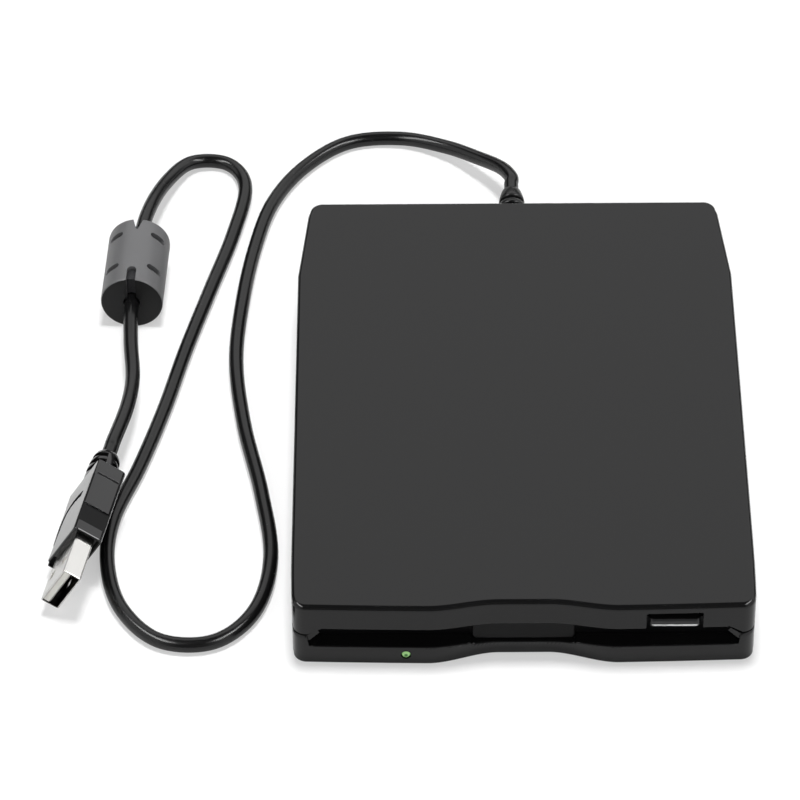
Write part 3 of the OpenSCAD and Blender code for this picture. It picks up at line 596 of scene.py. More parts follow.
CORD_JACKET = Jacket("cord_jacket", (0.0035, 0.0035, 0.0037), 0.24)
RELIEF_PLASTIC = Jacket("relief_plastic", (0.005, 0.005, 0.0052), 0.28)
FERRITE_SHELL = Moulded("ferrite_shell", (0.118, 0.118, 0.121), 0.40, grain=0.5, depth=0.004, cloud=0.08)
# Painted shade: the end faces of the grey ferrite shell, painted near-black.
FERRITE_END_SHADE = Moulded("ferrite_end_painted_shade", (0.006, 0.006, 0.0062), 0.42, grain=0.5, depth=0.004, index=1.35)
FERRITE = Sintered("ferrite_core", (0.018, 0.018, 0.020), 0.50)
PLUG_PLASTIC = Moulded("plug_plastic", (0.008, 0.008, 0.0085), 0.13, grain=0.45, depth=0.001, index=1.25,
                       polish=1.0)
PLUG_BAND = Moulded("plug_band", (0.003, 0.003, 0.0032), 0.34, grain=0.30, depth=0.006, index=1.28)
# Painted shade: the inside of the nickel shell, painted near-black.
SHELL_INSIDE_SHADE = Metal("shell_inside_painted_shade", (0.03, 0.03, 0.03), 0.40, lines=0.15, depth=0.001)
NICKEL = Metal("nickel_plate", (0.80, 0.79, 0.77), 0.20, lines=0.15, depth=0.001, cloud=0.03)
GOLD = Metal("gold_plate", (0.86, 0.62, 0.26), 0.22, lines=0.1, depth=0.001)
PAPER = Backdrop("floor_paper", (0.50, 0.50, 0.50), 0.9, lift=0.42, gloss=0.20)


# ---------------------------------------------------------------- meshes


def ease(t: float) -> float:
    """A smooth step from 0 to 1, held outside them."""
    c = min(1.0, max(0.0, t))
    return c * c * (3.0 - 2.0 * c)


def steps(start: float, stop: float, count: int) -> list[float]:
    """count + 1 even steps from start to stop."""
    return [start + (stop - start) * i / count for i in range(count + 1)]


def arc(centre: Place, radius: float, start: float, stop: float, count: int) -> Outline:
    """Gives the points of an arc in a plane.

    Args:
        centre: its centre.
        radius: its radius.
        start: the angle where it starts, in degrees.
        stop: the angle where it ends.
        count: the steps between them.

    Returns:
        count + 1 points.
    """
    return [(centre[0] + radius * math.cos(math.radians(t)), centre[1] + radius * math.sin(math.radians(t)))
            for t in steps(start, stop, count)]


def rounded(width: float, height: float, radius: float, inset: float = 0.0, count: int = 5) -> Outline:
    """A rectangle with round corners, drawn in by inset.

    Args:
        width: its size along the first axis.
        height: its size along the second axis.
        radius: the radius of its corners before it is drawn in.
        inset: how far it is drawn in.
        count: the steps round each corner.

    Returns:
        Its points, anticlockwise.
    """
    r = max(radius - inset, 0.01)
    x, y = width / 2 - inset - r, height / 2 - inset - r
    corners = ((x, y, 0), (-x, y, 90), (-x, -y, 180), (x, -y, 270))
    return [p for cx, cy, a in corners for p in arc((cx, cy), r, a, a + 90, count)]


def at(x: float, y: float, z: float) -> Matrix:
    """The matrix that moves a blank to a place in millimetres."""
    return Matrix.Translation(Vector((x, y, z)) * MM)


def along_y() -> Matrix:
    """The matrix that lays a shape turned about Z along +Y."""
    return Matrix.Rotation(-math.pi / 2, 4, "X")


class Axis(Enum):
    """An axis, with the places of its X, Y and Z in (first of the other axes, second of them, depth)."""

    X = (2, 0, 1)
    Y = (0, 2, 1)
    Z = (0, 1, 2)


class Blank:
    """A closed skin in the making, whose points are given in millimetres."""

    def __init__(self) -> None:
        """Starts with no faces."""
        self.mesh = bmesh.new()

    def ring(self, points: Iterable[Place]) -> list[bmesh.types.BMVert]:
        """Adds the points of one ring."""
        return [self.mesh.verts.new(Vector(p) * MM) for p in points]

    def band(self, first: list[bmesh.types.BMVert], second: list[bmesh.types.BMVert]) -> None:
        """Joins two rings, one of which may be a single point.

        Args:
            first: the points of one ring.
            second: the points of the other.
        """
        count = max(len(first), len(second))
        for i in range(count):
            j = (i + 1) % count
            corners = [first[i % len(first)], first[j % len(first)], second[j % len(second)],
                       second[i % len(second)]]
            self.mesh.faces.new(list(dict.fromkeys(corners)))

    def loft(self, rings: Sequence[Iterable[Place]]) -> "Blank":
        """Adds a solid through rings, closed by a face at each end.

        Args:
            rings: the rings in order, each with the same number of points.

        Returns:
            The blank itself.
        """
        rows = [self.ring(r) for r in rings]
        for first, second in zip(rows, rows[1:]):
            self.band(first, second)
        self.mesh.faces.new(rows[0])
        self.mesh.faces.new(rows[-1])
        return self

    def turn(self, profile: Sequence[tuple[float, float]], count: int) -> "Blank":
        """Adds a shape of revolution about Z.

        Args:
            profile: radius and height of each point. A profile that leaves the axis is closed on itself.
            count: the steps round the axis.

        Returns:
            The blank itself.
        """
        angles = [math.tau * i / count for i in range(count)]
        rows = [self.ring([(r * math.cos(t), r * math.sin(t), h) for t in (angles if r > 0 else [0.0])])
                for r, h in profile]
        for first, second in zip(rows, rows[1:] + ([] if profile[0][0] == 0 else rows[:1])):
            self.band(first, second)
        return self

    def turned_at(self, x: float, y: float, profile: Sequence[tuple[float, float]]) -> None:
        """Adds a shape of revolution about an upright axis.

        Args:
            x: the axis' place across.
            y: the axis' place along the depth.
            profile: radius and height of each point, from the axis to the axis.
        """
        before = set(self.mesh.verts)
        self.turn(profile, 48)
        moved = [v for v in self.mesh.verts if v not in before]
        bmesh.ops.translate(self.mesh, verts=moved, vec=Vector((x, y, 0.0)) * MM)

    def prism(self, outline: Sequence[tuple[float, float]], span: tuple[float, float],
              axis: Axis = Axis.Z) -> "Blank":
        """Adds an outline given depth along an axis.

        Args:
            outline: its points in the other two axes: YZ, XZ or XY.
            span: where it starts and ends along the axis.
            axis: the axis that it runs along.

        Returns:
            The blank itself.
        """
        x, y, z = axis.value
        solids = [[(*point, depth) for point in outline] for depth in span]
        return self.loft([[(p[x], p[y], p[z]) for p in ring] for ring in solids])

    def block(self, x: tuple[float, float], y: tuple[float, float], z: tuple[float, float]) -> "Blank":
        """Adds a plain block, to be cut, joined or cut with."""
        return self.prism([(x[0], y[0]), (x[1], y[0]), (x[1], y[1]), (x[0], y[1])], z)

    def bar(self, axis: Axis, centre: tuple[float, float], span: tuple[float, float], radius: float,
            count: int = 40) -> "Blank":
        """Adds a round bar along an axis, to be joined or cut with.

        Args:
            axis: the axis that it runs along.
            centre: its place on the other two axes, in their order.
            span: where it starts and ends along the axis.
            radius: its radius.
            count: the steps round it.

        Returns:
            The blank itself.
        """
        return self.prism(arc(centre, radius, 0, 360 * (count - 1) / count, count - 1), span, axis)

    def made(self, name: str, place: Matrix | None = None, mirror: bool = False) -> bpy.types.Object:
        """Turns the blank into an object.

        Args:
            name: the object's name.
            place: where the blank goes.
            mirror: whether a second one stands on the other side of the middle.

        Returns:
            The new object, with its faces outwards.
        """
        if place is not None:
            self.mesh.transform(place)
        if mirror:
            copied = bmesh.ops.duplicate(self.mesh, geom=self.mesh.verts[:] + self.mesh.edges[:]
                                         + self.mesh.faces[:])["geom"]
            for vert in (v for v in copied if isinstance(v, bmesh.types.BMVert)):
                vert.co.x = -vert.co.x
        bmesh.ops.recalc_face_normals(self.mesh, faces=self.mesh.faces[:])
        data = bpy.data.meshes.new(name)
        self.mesh.to_mesh(data)
        self.mesh.free()
        piece = bpy.data.objects.new(name, data)
        bpy.context.scene.collection.objects.link(piece)
        return piece


class Work(Enum):
    """What is done to a piece with another solid."""

    CUT = "DIFFERENCE"
    JOIN = "UNION"


def work(piece: bpy.types.Object, how: Work, *tools: bpy.types.Object) -> bpy.types.Object:
    """Cuts other solids out of a piece, or joins them to it, and uses them up.

    Args:
        piece: the piece that is worked on.
        how: whether the tools are cut out or joined on.
        tools: the other solids.

    Returns:
        The piece.
    """
    for tool in tools:
        step = piece.modifiers.new(how.name, "BOOLEAN")
        step.operation, step.solver, step.object = how.value, "EXACT", tool
    settle(piece)
    for tool in tools:
        spare = tool.data
        bpy.data.objects.remove(tool)
        bpy.data.meshes.remove(spare)
    return piece


def settle(piece: bpy.types.Object) -> None:
    """Makes a piece's modifiers part of its mesh, and welds points that fall together.

    Args:
        piece: the piece.
    """
    done = bpy.data.meshes.new_from_object(piece.evaluated_get(bpy.context.evaluated_depsgraph_get()))
    piece.modifiers.clear()
    spare = piece.data
    piece.data = done
    bpy.data.meshes.remove(spare)
    tidy = bmesh.new()
    tidy.from_mesh(done)
    bmesh.ops.remove_doubles(tidy, verts=tidy.verts[:], dist=0.002 * MM)
    bmesh.ops.dissolve_degenerate(tidy, edges=tidy.edges[:], dist=0.0005 * MM)
    tidy.to_mesh(done)
    tidy.free()


def soften(piece: bpy.types.Object, radius: float = 0.0, sharp: float = 40.0) -> bpy.types.Object:
    """Breaks a piece's sharp edges and smooths its curved faces.

    Args:
        piece: the piece.
        radius: how far each sharp edge is broken, in millimetres, or 0 to leave it.
        sharp: the angle in degrees from which an edge counts as sharp.

    Returns:
        The piece.
    """
    if radius:
        bevel = piece.modifiers.new("broken_edges", "BEVEL")
        bevel.width, bevel.segments, bevel.limit_method = radius * MM, 2, "ANGLE"
        bevel.angle_limit, bevel.miter_outer = math.radians(sharp), "MITER_ARC"
        settle(piece)
    piece.data.shade_smooth()
    piece.data.set_sharp_from_angle(angle=math.radians(sharp))
    weighted = piece.modifiers.new("flat_faces", "WEIGHTED_NORMAL")
    weighted.keep_sharp, weighted.weight = True, 80
    return piece


def fit(piece: bpy.types.Object, body: str, slot: str, finish: Finish, *stands_for: str) -> bpy.types.Object:
    """Gives a piece its finish and hands it to the frame.

    Args:
        piece: the finished piece.
        body: the body that it moves with.
        slot: not used.
        finish: its finish.
        stands_for: the nodes of the part that it replaces.

    Returns:
        The piece.
    """
    piece.data.materials.clear()
    piece.data.materials.append(finish.material())
    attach(piece, body)
    if stands_for:
        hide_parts(*stands_for)
    size = len(piece.data.polygons) if piece.type == "MESH" else len(piece.data.splines)
    LOG.info("%s on %s: %d %s", piece.name, body, size, "faces" if piece.type == "MESH" else "spline")
    return piece


def inlay(piece: bpy.types.Object, finish: Finish, chosen: Iterable[bool]) -> None:
    """Gives some of a piece's faces a second finish.

    Args:
        piece: the piece, with its first finish.
        finish: the second finish.
        chosen: whether each of its faces takes the second finish.
    """
    piece.data.materials.append(finish.material())
    for face, taken in zip(piece.data.polygons, chosen):
        face.material_index = int(taken)


# ---------------------------------------------------------------- studio


@dataclass
class Studio:
    """The camera at the photograph's angle, a pale floor and soft light."""

    camera_at: Place = (-22.38, -811.36, 742.62)
    right: Place = (0.99997, -0.00022, -0.00736)
    up: Place = (0.00563, 0.66677, 0.74524)
    lens: float = 210.12
    floor_radius: float = 6000.0
    back_from: float = 60.0
    back_blur: float = 0.06
    wedge: tuple[float, float] = (-0.38, 0.72)
    wedge_blur: float = 0.15
    skirt: tuple[float, float] = (0.28, 0.40)
    roof: tuple[float, float] = (0.55, 0.75)
    behind: tuple[float, float] = (0.40, 0.55)
    sides: tuple[float, float] = (0.08, 0.50)
    dim: float = 0.02
    low_glow: float = 0.10
    side_glow: float = 0.60
    matt_share: float = 0.10

    def build(self) -> None:
        """Sets up everything that isn't part of the object."""
        self.camera()
        self.floor()
        self.world()
        self.lamps()
        bpy.context.scene.view_settings.view_transform = "Standard"

    def camera(self) -> None:
        """Places the camera that took the photograph."""
        data = bpy.data.cameras.new("camera")
        data.lens, data.sensor_width, data.sensor_fit = self.lens, 36.0, "HORIZONTAL"
        data.clip_start, data.clip_end = 0.02, 50.0
        right, up = Vector(self.right).normalized(), Vector(self.up).normalized()
        back = right.cross(up).normalized()
        up = back.cross(right)
        seat = Matrix((right, up, back)).transposed().to_4x4()
        camera = bpy.data.objects.new("camera", data)
        camera.matrix_world = at(*self.camera_at) @ seat
        bpy.context.scene.collection.objects.link(camera)
        bpy.context.scene.camera = camera

    def floor(self) -> None:
        """Lays the floor that the feet stand on."""
        blank = Blank()
        rim = arc((0.0, 0.0), self.floor_radius, 0, 350, 35)
        blank.mesh.faces.new(blank.ring([(x, y, 0.0) for x, y in rim]))
        floor = blank.made("floor")
        floor.data.materials.append(PAPER.material())

    def world(self) -> None:
        """Makes a white surround for the eye. Gloss sees a lit back, grey sides, a dark roof and front."""
        world = bpy.data.worlds.new("surround")
        bpy.context.scene.world = world
        graph = Graph(world)
        way = graph.node("ShaderNodeTexCoord", output="Generated")
        parts = graph.node("ShaderNodeSeparateXYZ", None, {0: way})
        across, along, high = (Term(graph, parts.socket.node.outputs[i]) for i in range(3))
        edge = math.radians(self.back_from)
        lean = along * math.sin(edge) - high * math.cos(edge)
        left, right = self.wedge
        within = graph.span(across, left - self.wedge_blur, left)
        within = within * graph.span(across, right, right + self.wedge_blur, 1.0, 0.0)
        back = graph.span(lean, -self.back_blur, self.back_blur) * within * graph.span(high, *self.skirt)
        low = graph.span(high, *self.roof, 1.0, 0.0) * graph.span(along, *self.behind, 1.0, 0.0)
        glow = self.low_glow + graph.span(across * across, *self.sides) * self.side_glow
        lit = self.dim + back * (1.0 - self.dim) + low * glow
        rays = [graph.node("ShaderNodeLightPath", output=name)
                for name in ("Is Camera Ray", "Is Glossy Ray", "Is Transmission Ray")]
        strength = rays[0].larger(rays[2]).larger(lit).larger((1.0 - rays[1]) * self.matt_share)
        ground = graph.node("ShaderNodeBackground", None,
                            {"Color": (1.0, 1.0, 1.0, 1.0), "Strength": strength})
        graph.node("ShaderNodeOutputWorld", None, {"Surface": ground})

    def lamps(self) -> None:
        """Hangs the soft boxes: two for the shadows, and one on each side for the glints."""
        self.soft_box("key", (0.0, 0.05, 1.25), (0.24, 0.24), 76.0, gloss=False)
        self.soft_box("fill", (0.0, -1.10, 0.80), (1.2, 0.7), 2.8, gloss=False)
        self.soft_box("side_left", (-0.55, -0.14, 0.85), (0.90, 0.20), 11.0, spread=False)
        self.soft_box("side_right", (0.55, -0.14, 0.85), (0.90, 0.20), 11.0, spread=False)

    def soft_box(self, name: str, place: Place, size: tuple[float, float], radiance: float,
                 gloss: bool = True, spread: bool = True) -> None:
        """Hangs one soft box that faces the object.

        Args:
            name: its name.
            place: its middle, in metres.
            size: its width and height, in metres.
            radiance: how bright its face is, where the white surround is 1.
            gloss: whether shiny pieces mirror it.
            spread: whether it lights matt pieces.
        """
        data = bpy.data.lights.new(name, "AREA")
        data.shape, data.size, data.size_y = "RECTANGLE", size[0], size[1]
        data.energy = radiance * math.pi * size[0] * size[1]
        lamp = bpy.data.objects.new(name, data)
        lamp.location = Vector(place)
        lamp.rotation_mode = "QUATERNION"
        lamp.rotation_quaternion = Vector(place).to_track_quat("Z", "Y")
        lamp.visible_glossy, lamp.visible_diffuse = gloss, spread
        lamp.visible_camera = False
        bpy.context.scene.collection.objects.link(lamp)


# ---------------------------------------------------------------- cord set


@dataclass
class CordSet:
    """The fixed cord with its strain relief, ferrite and plug."""

    cord_d: float = 3.5
    lay_z: float = 1.8
    relief_z: float = PART_Z
    relief_l: float = 14.0
    back: float = CASE_DEPTH / 2
    ferrite_d: float = 15.0
    ferrite_back: Place = (-91.5, 69.0, 7.5)
    ferrite_front: Place = (-92.5, 46.0, 7.5)
    ferrite_l: float = 23.0
    plug_end: tuple[float, float] = (-97.3, -19.3)
    plug_turn: float = 11.0
    plug_tilt: float = 30.0
    plug_w: float = 16.0
    plug_t: float = 7.3
    plug_l: float = 24.0
    plug_sunk: float = 0.3
    band: tuple[float, float] = (3.0, 8.8)
    sleeve_l: float = 9.0
    shell_w: float = 12.0
    shell_t: float = 4.5
    shell_l: float = 12.0
    shell_sheet: float = 0.3
    grip_half: float = 0.85
    grip_deep: float = 0.6

    def build(self) -> None:
        """Makes the cord first and then the pieces on it."""
        cord = self.cord()
        relief = self.relief()
        jacket = self.jacket()
        plug = [self.overmould(), self.shell(), self.tongue(), self.contacts()]
        self.length()

    def route(self) -> list[Vector]:
        """The points that the cord's middle line runs through.

        Returns:
            The points, from the strain relief's tip to the plug.
        """
        z = self.lay_z
        tip = (0.0, self.back + self.relief_l, self.relief_z)
        points = [tip, (0, tip[1] + 3, tip[2]), (0, tip[1] + 6, tip[2]), (-2.5, 96.5, 8.2), (-8, 103.5, 5.6),
                  (-16, 111, 3.2), (-27.5, 116, 2), (-41, 114.5, z), (-52, 104.5, z), (-59.5, 90.5, z),
                  (-63.5, 73, z), (-66, 53, z), (-67, 31, z), (-64.5, 8, z), (-60, -15, z), (-57.3, -37, z),
                  (-60.5, -54.5, z), (-69.5, -64.5, z), (-82, -64, z), (-91, -53.5, z), (-94.7, -39, z),
                  (-94, -24, z), (-88.6, -6, z), (-83.6, 14, z), (-79.3, 35, z), (-74, 57.5, z),
                  (-69, 78.5, z), (-66.4, 97, z), (-71, 106.3, z), (-80, 106.3, 2.4), (-85.7, 97, 4.2),
                  (-89.6, 83, 6.8), self.ferrite_back, self.ferrite_front, (-92.2, 33, 6.6), (-91.2, 20, 6.4),
                  (-92, 8, 7.7)]
        end = [self.plug_point(-self.sleeve_l - away) for away in (6.0, 3.0, 0.0)]
        return [Vector(p) for p in points] + end

    def plug_point(self, y: float) -> Vector:
        """The point y behind the plug's back end, on its axis."""
        turn, (x0, y0) = math.radians(self.plug_turn), self.plug_end
        return Vector((x0 - y * math.sin(turn), y0 - y * math.cos(turn), self.plug_z()))

    def plug_z(self) -> float:
        """The height of the plug's axis, with one of its long edges on the floor."""
        tilt = math.radians(self.plug_tilt)
        return self.plug_w / 2 * math.cos(tilt) + self.plug_t / 2 * math.sin(tilt)

    def tangents(self) -> list[Vector]:
        """A third of the smooth curve's speed at each point of the route.

        Returns:
            One pull for each point, in millimetres.
        """
        p = self.route()
        last = len(p) - 1
        return [(p[min(i + 1, last)] - p[max(i - 1, 0)]) / 6 for i in range(len(p))]

    def length(self) -> float:
        """The cord's length in metres, measured along its curve.

        Returns:
            The length.
        """
        points, pull = self.route(), self.tangents()
        total, fine = 0.0, 24
        for i in range(len(points) - 1):
            a, b, c, d = points[i], points[i] + pull[i], points[i + 1] - pull[i + 1], points[i + 1]
            run = [a * (1 - t) ** 3 + b * 3 * t * (1 - t) ** 2 + c * 3 * t * t * (1 - t) + d * t ** 3
                   for t in steps(0.0, 1.0, fine)]
            total += sum((q - p).length for p, q in zip(run, run[1:]))
        return total * MM

    def cord(self) -> bpy.types.Object:
        """The round jacketed cord.

        Returns:
            The cord, as a curve with a round section.
        """
        data = bpy.data.curves.new("usb_cord_jacket", "CURVE")
        data.dimensions, data.resolution_u, data.bevel_depth = "3D", 10, self.cord_d / 2 * MM
        data.bevel_resolution, data.use_fill_caps = 7, True
        points, pull = self.route(), self.tangents()
        spline = data.splines.new("BEZIER")
        spline.bezier_points.add(len(points) - 1)
        for bend, point, tug in zip(spline.bezier_points, points, pull):
            bend.handle_left_type = bend.handle_right_type = "FREE"
            bend.co, bend.handle_left, bend.handle_right = point * MM, (point - tug) * MM, (point + tug) * MM
        piece = bpy.data.objects.new("usb_cord_jacket", data)
        bpy.context.scene.collection.objects.link(piece)
        return fit(piece, "frame", "cord_jacket", CORD_JACKET, "usb_cord")

    def ribs(self, root: float, slope: float, start: float, pitch: float, count: int, deep: float,
             groove: float) -> Outline:
        """The profile of the ribbed part of a strain relief.

        Args:
            root: its radius where the ribs start.
            slope: how much thinner each rib is than the one before.
            start: where the first groove starts.
            pitch: the distance from groove to groove.
            count: the number of grooves.
            deep: how deep a groove is.
            groove: how wide a groove is.

        Returns:
            Radius and height of each point.
        """
        profile = []
        for i in range(count):
            r, y = root - slope * i, start + pitch * i
            end = y + groove
            profile += [(r - 0.12, y - 0.08), (r - 0.30, y + 0.05), (r - deep, y + 0.18),
                        (r - deep, end - 0.18), (r - 0.30, end - 0.05), (r - 0.08, end + 0.08),
                        (r, end + 0.3), (r - slope * 0.3, y + pitch - 0.4)]
        return profile

    def relief(self) -> bpy.types.Object:
        """The ribbed sleeve where the cord leaves the case.

        Returns:
            The finished piece.
        """
        y, tip = self.back, self.back + self.relief_l
        profile = [(0, y - 3.2), (3.9, y - 3.2), (4, y - 3.1), (4, y - 1.7), (2.65, y - 1.7), (2.65, y + 0.1),
                   (3.55, y + 0.1), (3.75, y + 0.2), (3.8, y + 0.45), (3.8, y + 2.0)]
        profile += self.ribs(root=3.8, slope=0.32, start=y + 2.5, pitch=2.9, count=3, deep=0.85, groove=1.1)
        profile += [(2.75, tip - 1.8), (2.45, tip - 0.6), (2.2, tip - 0.15), (2.0, tip), (0, tip)]
        piece = Blank().turn(profile, 72).made("cord_relief", at(0, 0, self.relief_z) @ along_y())
        return fit(soften(piece, sharp=50), "frame", "cord_jacket", RELIEF_PLASTIC, "strain_relief")

    def on_ferrite(self) -> Matrix:
        """The place of the ferrite, with +Y along it from its front end.

        Returns:
            The matrix of the place.
        """
        back, front = Vector(self.ferrite_back), Vector(self.ferrite_front)
        run, middle = back - front, (back + front) / 2
        turn = Matrix.Rotation(-math.atan2(run.x, run.y), 4, "Z")
        return at(*middle) @ turn @ at(0, -self.ferrite_l / 2, 0)

    def jacket(self) -> bpy.types.Object:
        """The hinged shell round the ferrite core, with its notches and slots.

        Returns:
            The finished piece.
        """
        r, long, place = self.ferrite_d / 2, self.ferrite_l, self.on_ferrite()
        bore = self.cord_d / 2 + 0.35
        profile = [(bore, 0), (r - 0.45, 0), (r - 0.18, 0.08), (r - 0.05, 0.22), (r, 0.5), (r, long - 0.5),
                   (r - 0.05, long - 0.22), (r - 0.18, long - 0.08), (r - 0.45, long), (bore, long),
                   (bore, long - 1.6), (r - 1.1, long - 1.6), (r - 1.1, 1.6), (bore, 1.6)]
        piece = Blank().turn(profile, 96).made("ferrite_case", place @ along_y())
        nose = [(-1.1, -1), (1.1, -1), *arc((0, 3.9), 1.1, 0, 180, 10)]
        tail = [(-1.55, long + 1), (-0.2, long - 3.9), (0.2, long - 3.9), (1.55, long + 1)]
        tools = [Blank().prism(nose, (0.5, r + 2)).made("nose_slot", place),
                 Blank().prism(tail, (0.5, r + 2)).made("tail_notch", place)]
        for turn in (-45, 45, 135, 225):
            side = place @ Matrix.Rotation(math.radians(turn), 4, "Y")
            for y in (6.4, long - 4.8):
                pill = [*arc((-1.4, y), 0.9, 90, 270, 8), *arc((1.4, y), 0.9, -90, 90, 8)]
                tools.append(Blank().prism(pill, (r - 2, r + 2)).made("side_slot", side))
        work(piece, Work.CUT, *tools)
        fit(soften(piece, 0.1, 50), "frame", "ferrite_shell", FERRITE_SHELL, "ferrite_jacket")
        # The end faces take the near-black finish: painted shade on the shell's own grey plastic.
        along, ends = place.col[1].to_3d(), []
        for face in piece.data.polygons:
            y = (face.center - place.translation).dot(along) / MM
            ends.append(abs(face.normal.dot(along)) > 0.9 and not 0.3 < y < long - 0.3)
        inlay(piece, FERRITE_END_SHADE, ends)
        return piece

    def on_plug(self) -> Matrix:
        """The place of the plug.

        Returns:
            A matrix that points to -Y from the plug's back end, with its broad sides tilted.
        """
        turned = Matrix.Rotation(math.radians(-self.plug_turn), 4, "Z")
        tilted = Matrix.Rotation(math.radians(self.plug_tilt), 4, "Y")
        return at(*self.plug_end, self.plug_z()) @ turned @ tilted

    def plug_section(self, y: float, inset: float, slim: float = 0.0) -> Ring:
        """Gives one rounded section of the plug's body.

        Args:
            y: its place along the plug.
            inset: how far it is drawn in all round.
            slim: how much lower its two narrow faces are.

        Returns:
            The ring.
        """
        return [(x, y, z) for x, z in rounded(self.plug_t, self.plug_w - 2 * slim, 1.0, inset)]

    def plug_body(self) -> bpy.types.Object:
        """Makes the plug's body, with its rear block standing a little higher than the rest.

        Returns:
            The body, not yet joined to its sleeve.
        """
        front, sunk = -self.plug_l, self.plug_sunk
        sunken = [self.plug_section(y, inset, sunk) for y, inset in
                  ((front, 0.35), (front + 0.1, 0.12), (front + 0.35, 0.0), (-5.25, 0.0))]
        block = [self.plug_section(y, inset) for y, inset in
                 ((-4.95, 0.0), (-1.1, 0.0), (-0.9, 0.1), (-0.8, 0.35))]
        return Blank().loft(sunken + block).made("plug_body", self.on_plug())

    def plug_sleeve(self) -> bpy.types.Object:
        """Makes the sleeve behind the plug's body, slotted from both sides.

        Returns:
            The sleeve.
        """
        place, end = self.on_plug(), self.sleeve_l
        profile = [(0, -1.4), (3.4, -1.4), (3.6, 0), (3.65, 1.5), (3.6, 3.5), (3.45, 5.5), (3.2, end - 1.6),
                   (2.9, end - 0.6), (2.5, end - 0.15), (2.1, end), (0, end)]
        sleeve = Blank().turn(profile, 72).made("plug_sleeve", place @ along_y())
        slots = []
        for y in (1.0, 3.4, 5.8):
            for side in (-1, 1):
                reach = [(side * 0.8, -5), (side * 0.8, 5), (side * 5, 5), (side * 5, -5)]
                gap = Blank().prism(reach, (y, y + 1.35), Axis.Y).made("rib_gap", place)
                core = Blank().bar(Axis.Y, (0, 0), (y - 1, y + 3), 2.1).made("rib_core", place)
                slots.append(work(gap, Work.CUT, core))
        return work(sleeve, Work.CUT, *slots)

    def overmould(self) -> bpy.types.Object:
        """Makes the plug's moulded body with its sleeve, the shell's seat, the bands and the finger grips.

        Returns:
            The finished piece.
        """
        place, w, t, front, sunk = self.on_plug(), self.plug_w, self.plug_t, -self.plug_l, self.plug_sunk
        body = work(self.plug_body(), Work.JOIN, self.plug_sleeve())
        seat = Blank().prism(rounded(t - 0.9, w - 2 * sunk - 1.1, 0.6), (front - 1, front + 1.7), Axis.Y)
        seat.prism(rounded(self.shell_t, self.shell_w, 0.3), (front + 1.7, front + 2.2), Axis.Y)
        start, stop = (front + end for end in self.band)
        cuts = [seat.made("shell_seat", place)]
        for low, high in ((w / 2 - sunk - 0.35, w), (-w, -w / 2 + sunk + 0.35)):
            cuts.append(Blank().block((-t, t), (start, stop), (low, high)).made("band", place))
        work(body, Work.CUT, *cuts, *self.grip_lines(place))
        fit(soften(body, 0.1, 45), "frame", "plug_body", PLUG_PLASTIC, "plug_overmould")
        back, dull = place.inverted(), []
        for face in body.data.polygons:
            middle = back @ face.center / MM
            broad, high, y = abs(middle.x), abs(middle.z), middle.y
            banded = start + 0.1 < y < stop - 0.1 and broad < t / 2 - 0.2 and high > w / 2 - sunk - 0.5
            grooved = t / 2 - self.grip_deep - 0.1 < broad < t / 2 - 0.05 and high < w / 2 - 1.3
            gripped = grooved and front + 0.3 < y < -7.0
            dull.append(banded or gripped or y < front + 0.05)
        inlay(body, PLUG_BAND, dull)
        return body

    def grip_lines(self, place: Matrix) -> list[bpy.types.Object]:
        """Makes the curved groove of each broad face.

        Args:
            place: the plug's place.

        Returns:
            The grooves, as solids to cut away.
        """
        bends = [Vector(p) for p in ((-8.9, 3.4), (-8.3, 1.6), (-7.9, -1.0), (-8.3, -3.6), (-9.8, -5.3),
                                     (-12.4, -6.0), (-16.8, -6.4), (-21.0, -6.8), (-24.5, -7.1))]
        line = []
        for i in range(len(bends) - 1):
            a, b, c, d = (bends[min(max(i + k, 0), len(bends) - 1)] for k in (-1, 0, 1, 2))
            line += [0.5 * (2 * b + (c - a) * s + (2 * a - 5 * b + 4 * c - d) * s * s
                            + (3 * b - a - 3 * c + d) * s ** 3) for s in steps(0, 0.8, 4)]
        line.append(bends[-1])
        tools = []
        for side in (-1, 1):
            inner, outer = side * (self.plug_t / 2 - self.grip_deep), side * (self.plug_t / 2 + 1)
            rings = []
            for i, point in enumerate(line):
                run = (line[min(i + 1, len(line) - 1)] - line[max(i - 1, 0)]).normalized()
                aside = Vector((-run.y, run.x)) * self.grip_half
                p, q = point - aside, point + aside
                rings.append([(inner, p.x, p.y), (inner, q.x, q.y), (outer, q.x, q.y), (outer, p.x, p.y)])
            tools.append(Blank().loft(rings).made("grip_line", place))
        return tools

    def shell(self) -> bpy.types.Object:
        """Makes the plug's bright shell, with two latch holes in each broad face.

        Returns:
            The finished piece.
        """
        place, front, t, w, sheet = self.on_plug(), -self.plug_l, self.shell_t, self.shell_w, self.shell_sheet
        tip, root = front - self.shell_l, front + 2.0
        skin = [[(x, y, z) for x, z in rounded(t, w, 0.45, inset)]
                for y, inset in ((tip, 0.12), (tip + 0.12, 0.0), (root, 0.0))]
        bore = rounded(t - 2 * sheet, w - 2 * sheet, 0.3)
        outer = Blank().loft(skin).made("plug_tube", place)
        cuts = [Blank().prism(bore, (tip - 1, root - 0.4), Axis.Y).made("tube_bore", place)]
        for z in (-2.9, 2.9):
            hole = [(front - 6.3 + a, z + b) for a, b in rounded(2.2, 2.2, 0.2, count=3)]
            cuts.append(Blank().prism(hole, (-t, t), Axis.X).made("latch_hole", place))
        work(outer, Work.CUT, *cuts)
        fit(soften(outer, 0.04, 45), "frame", "nickel", NICKEL, "plug_shell")
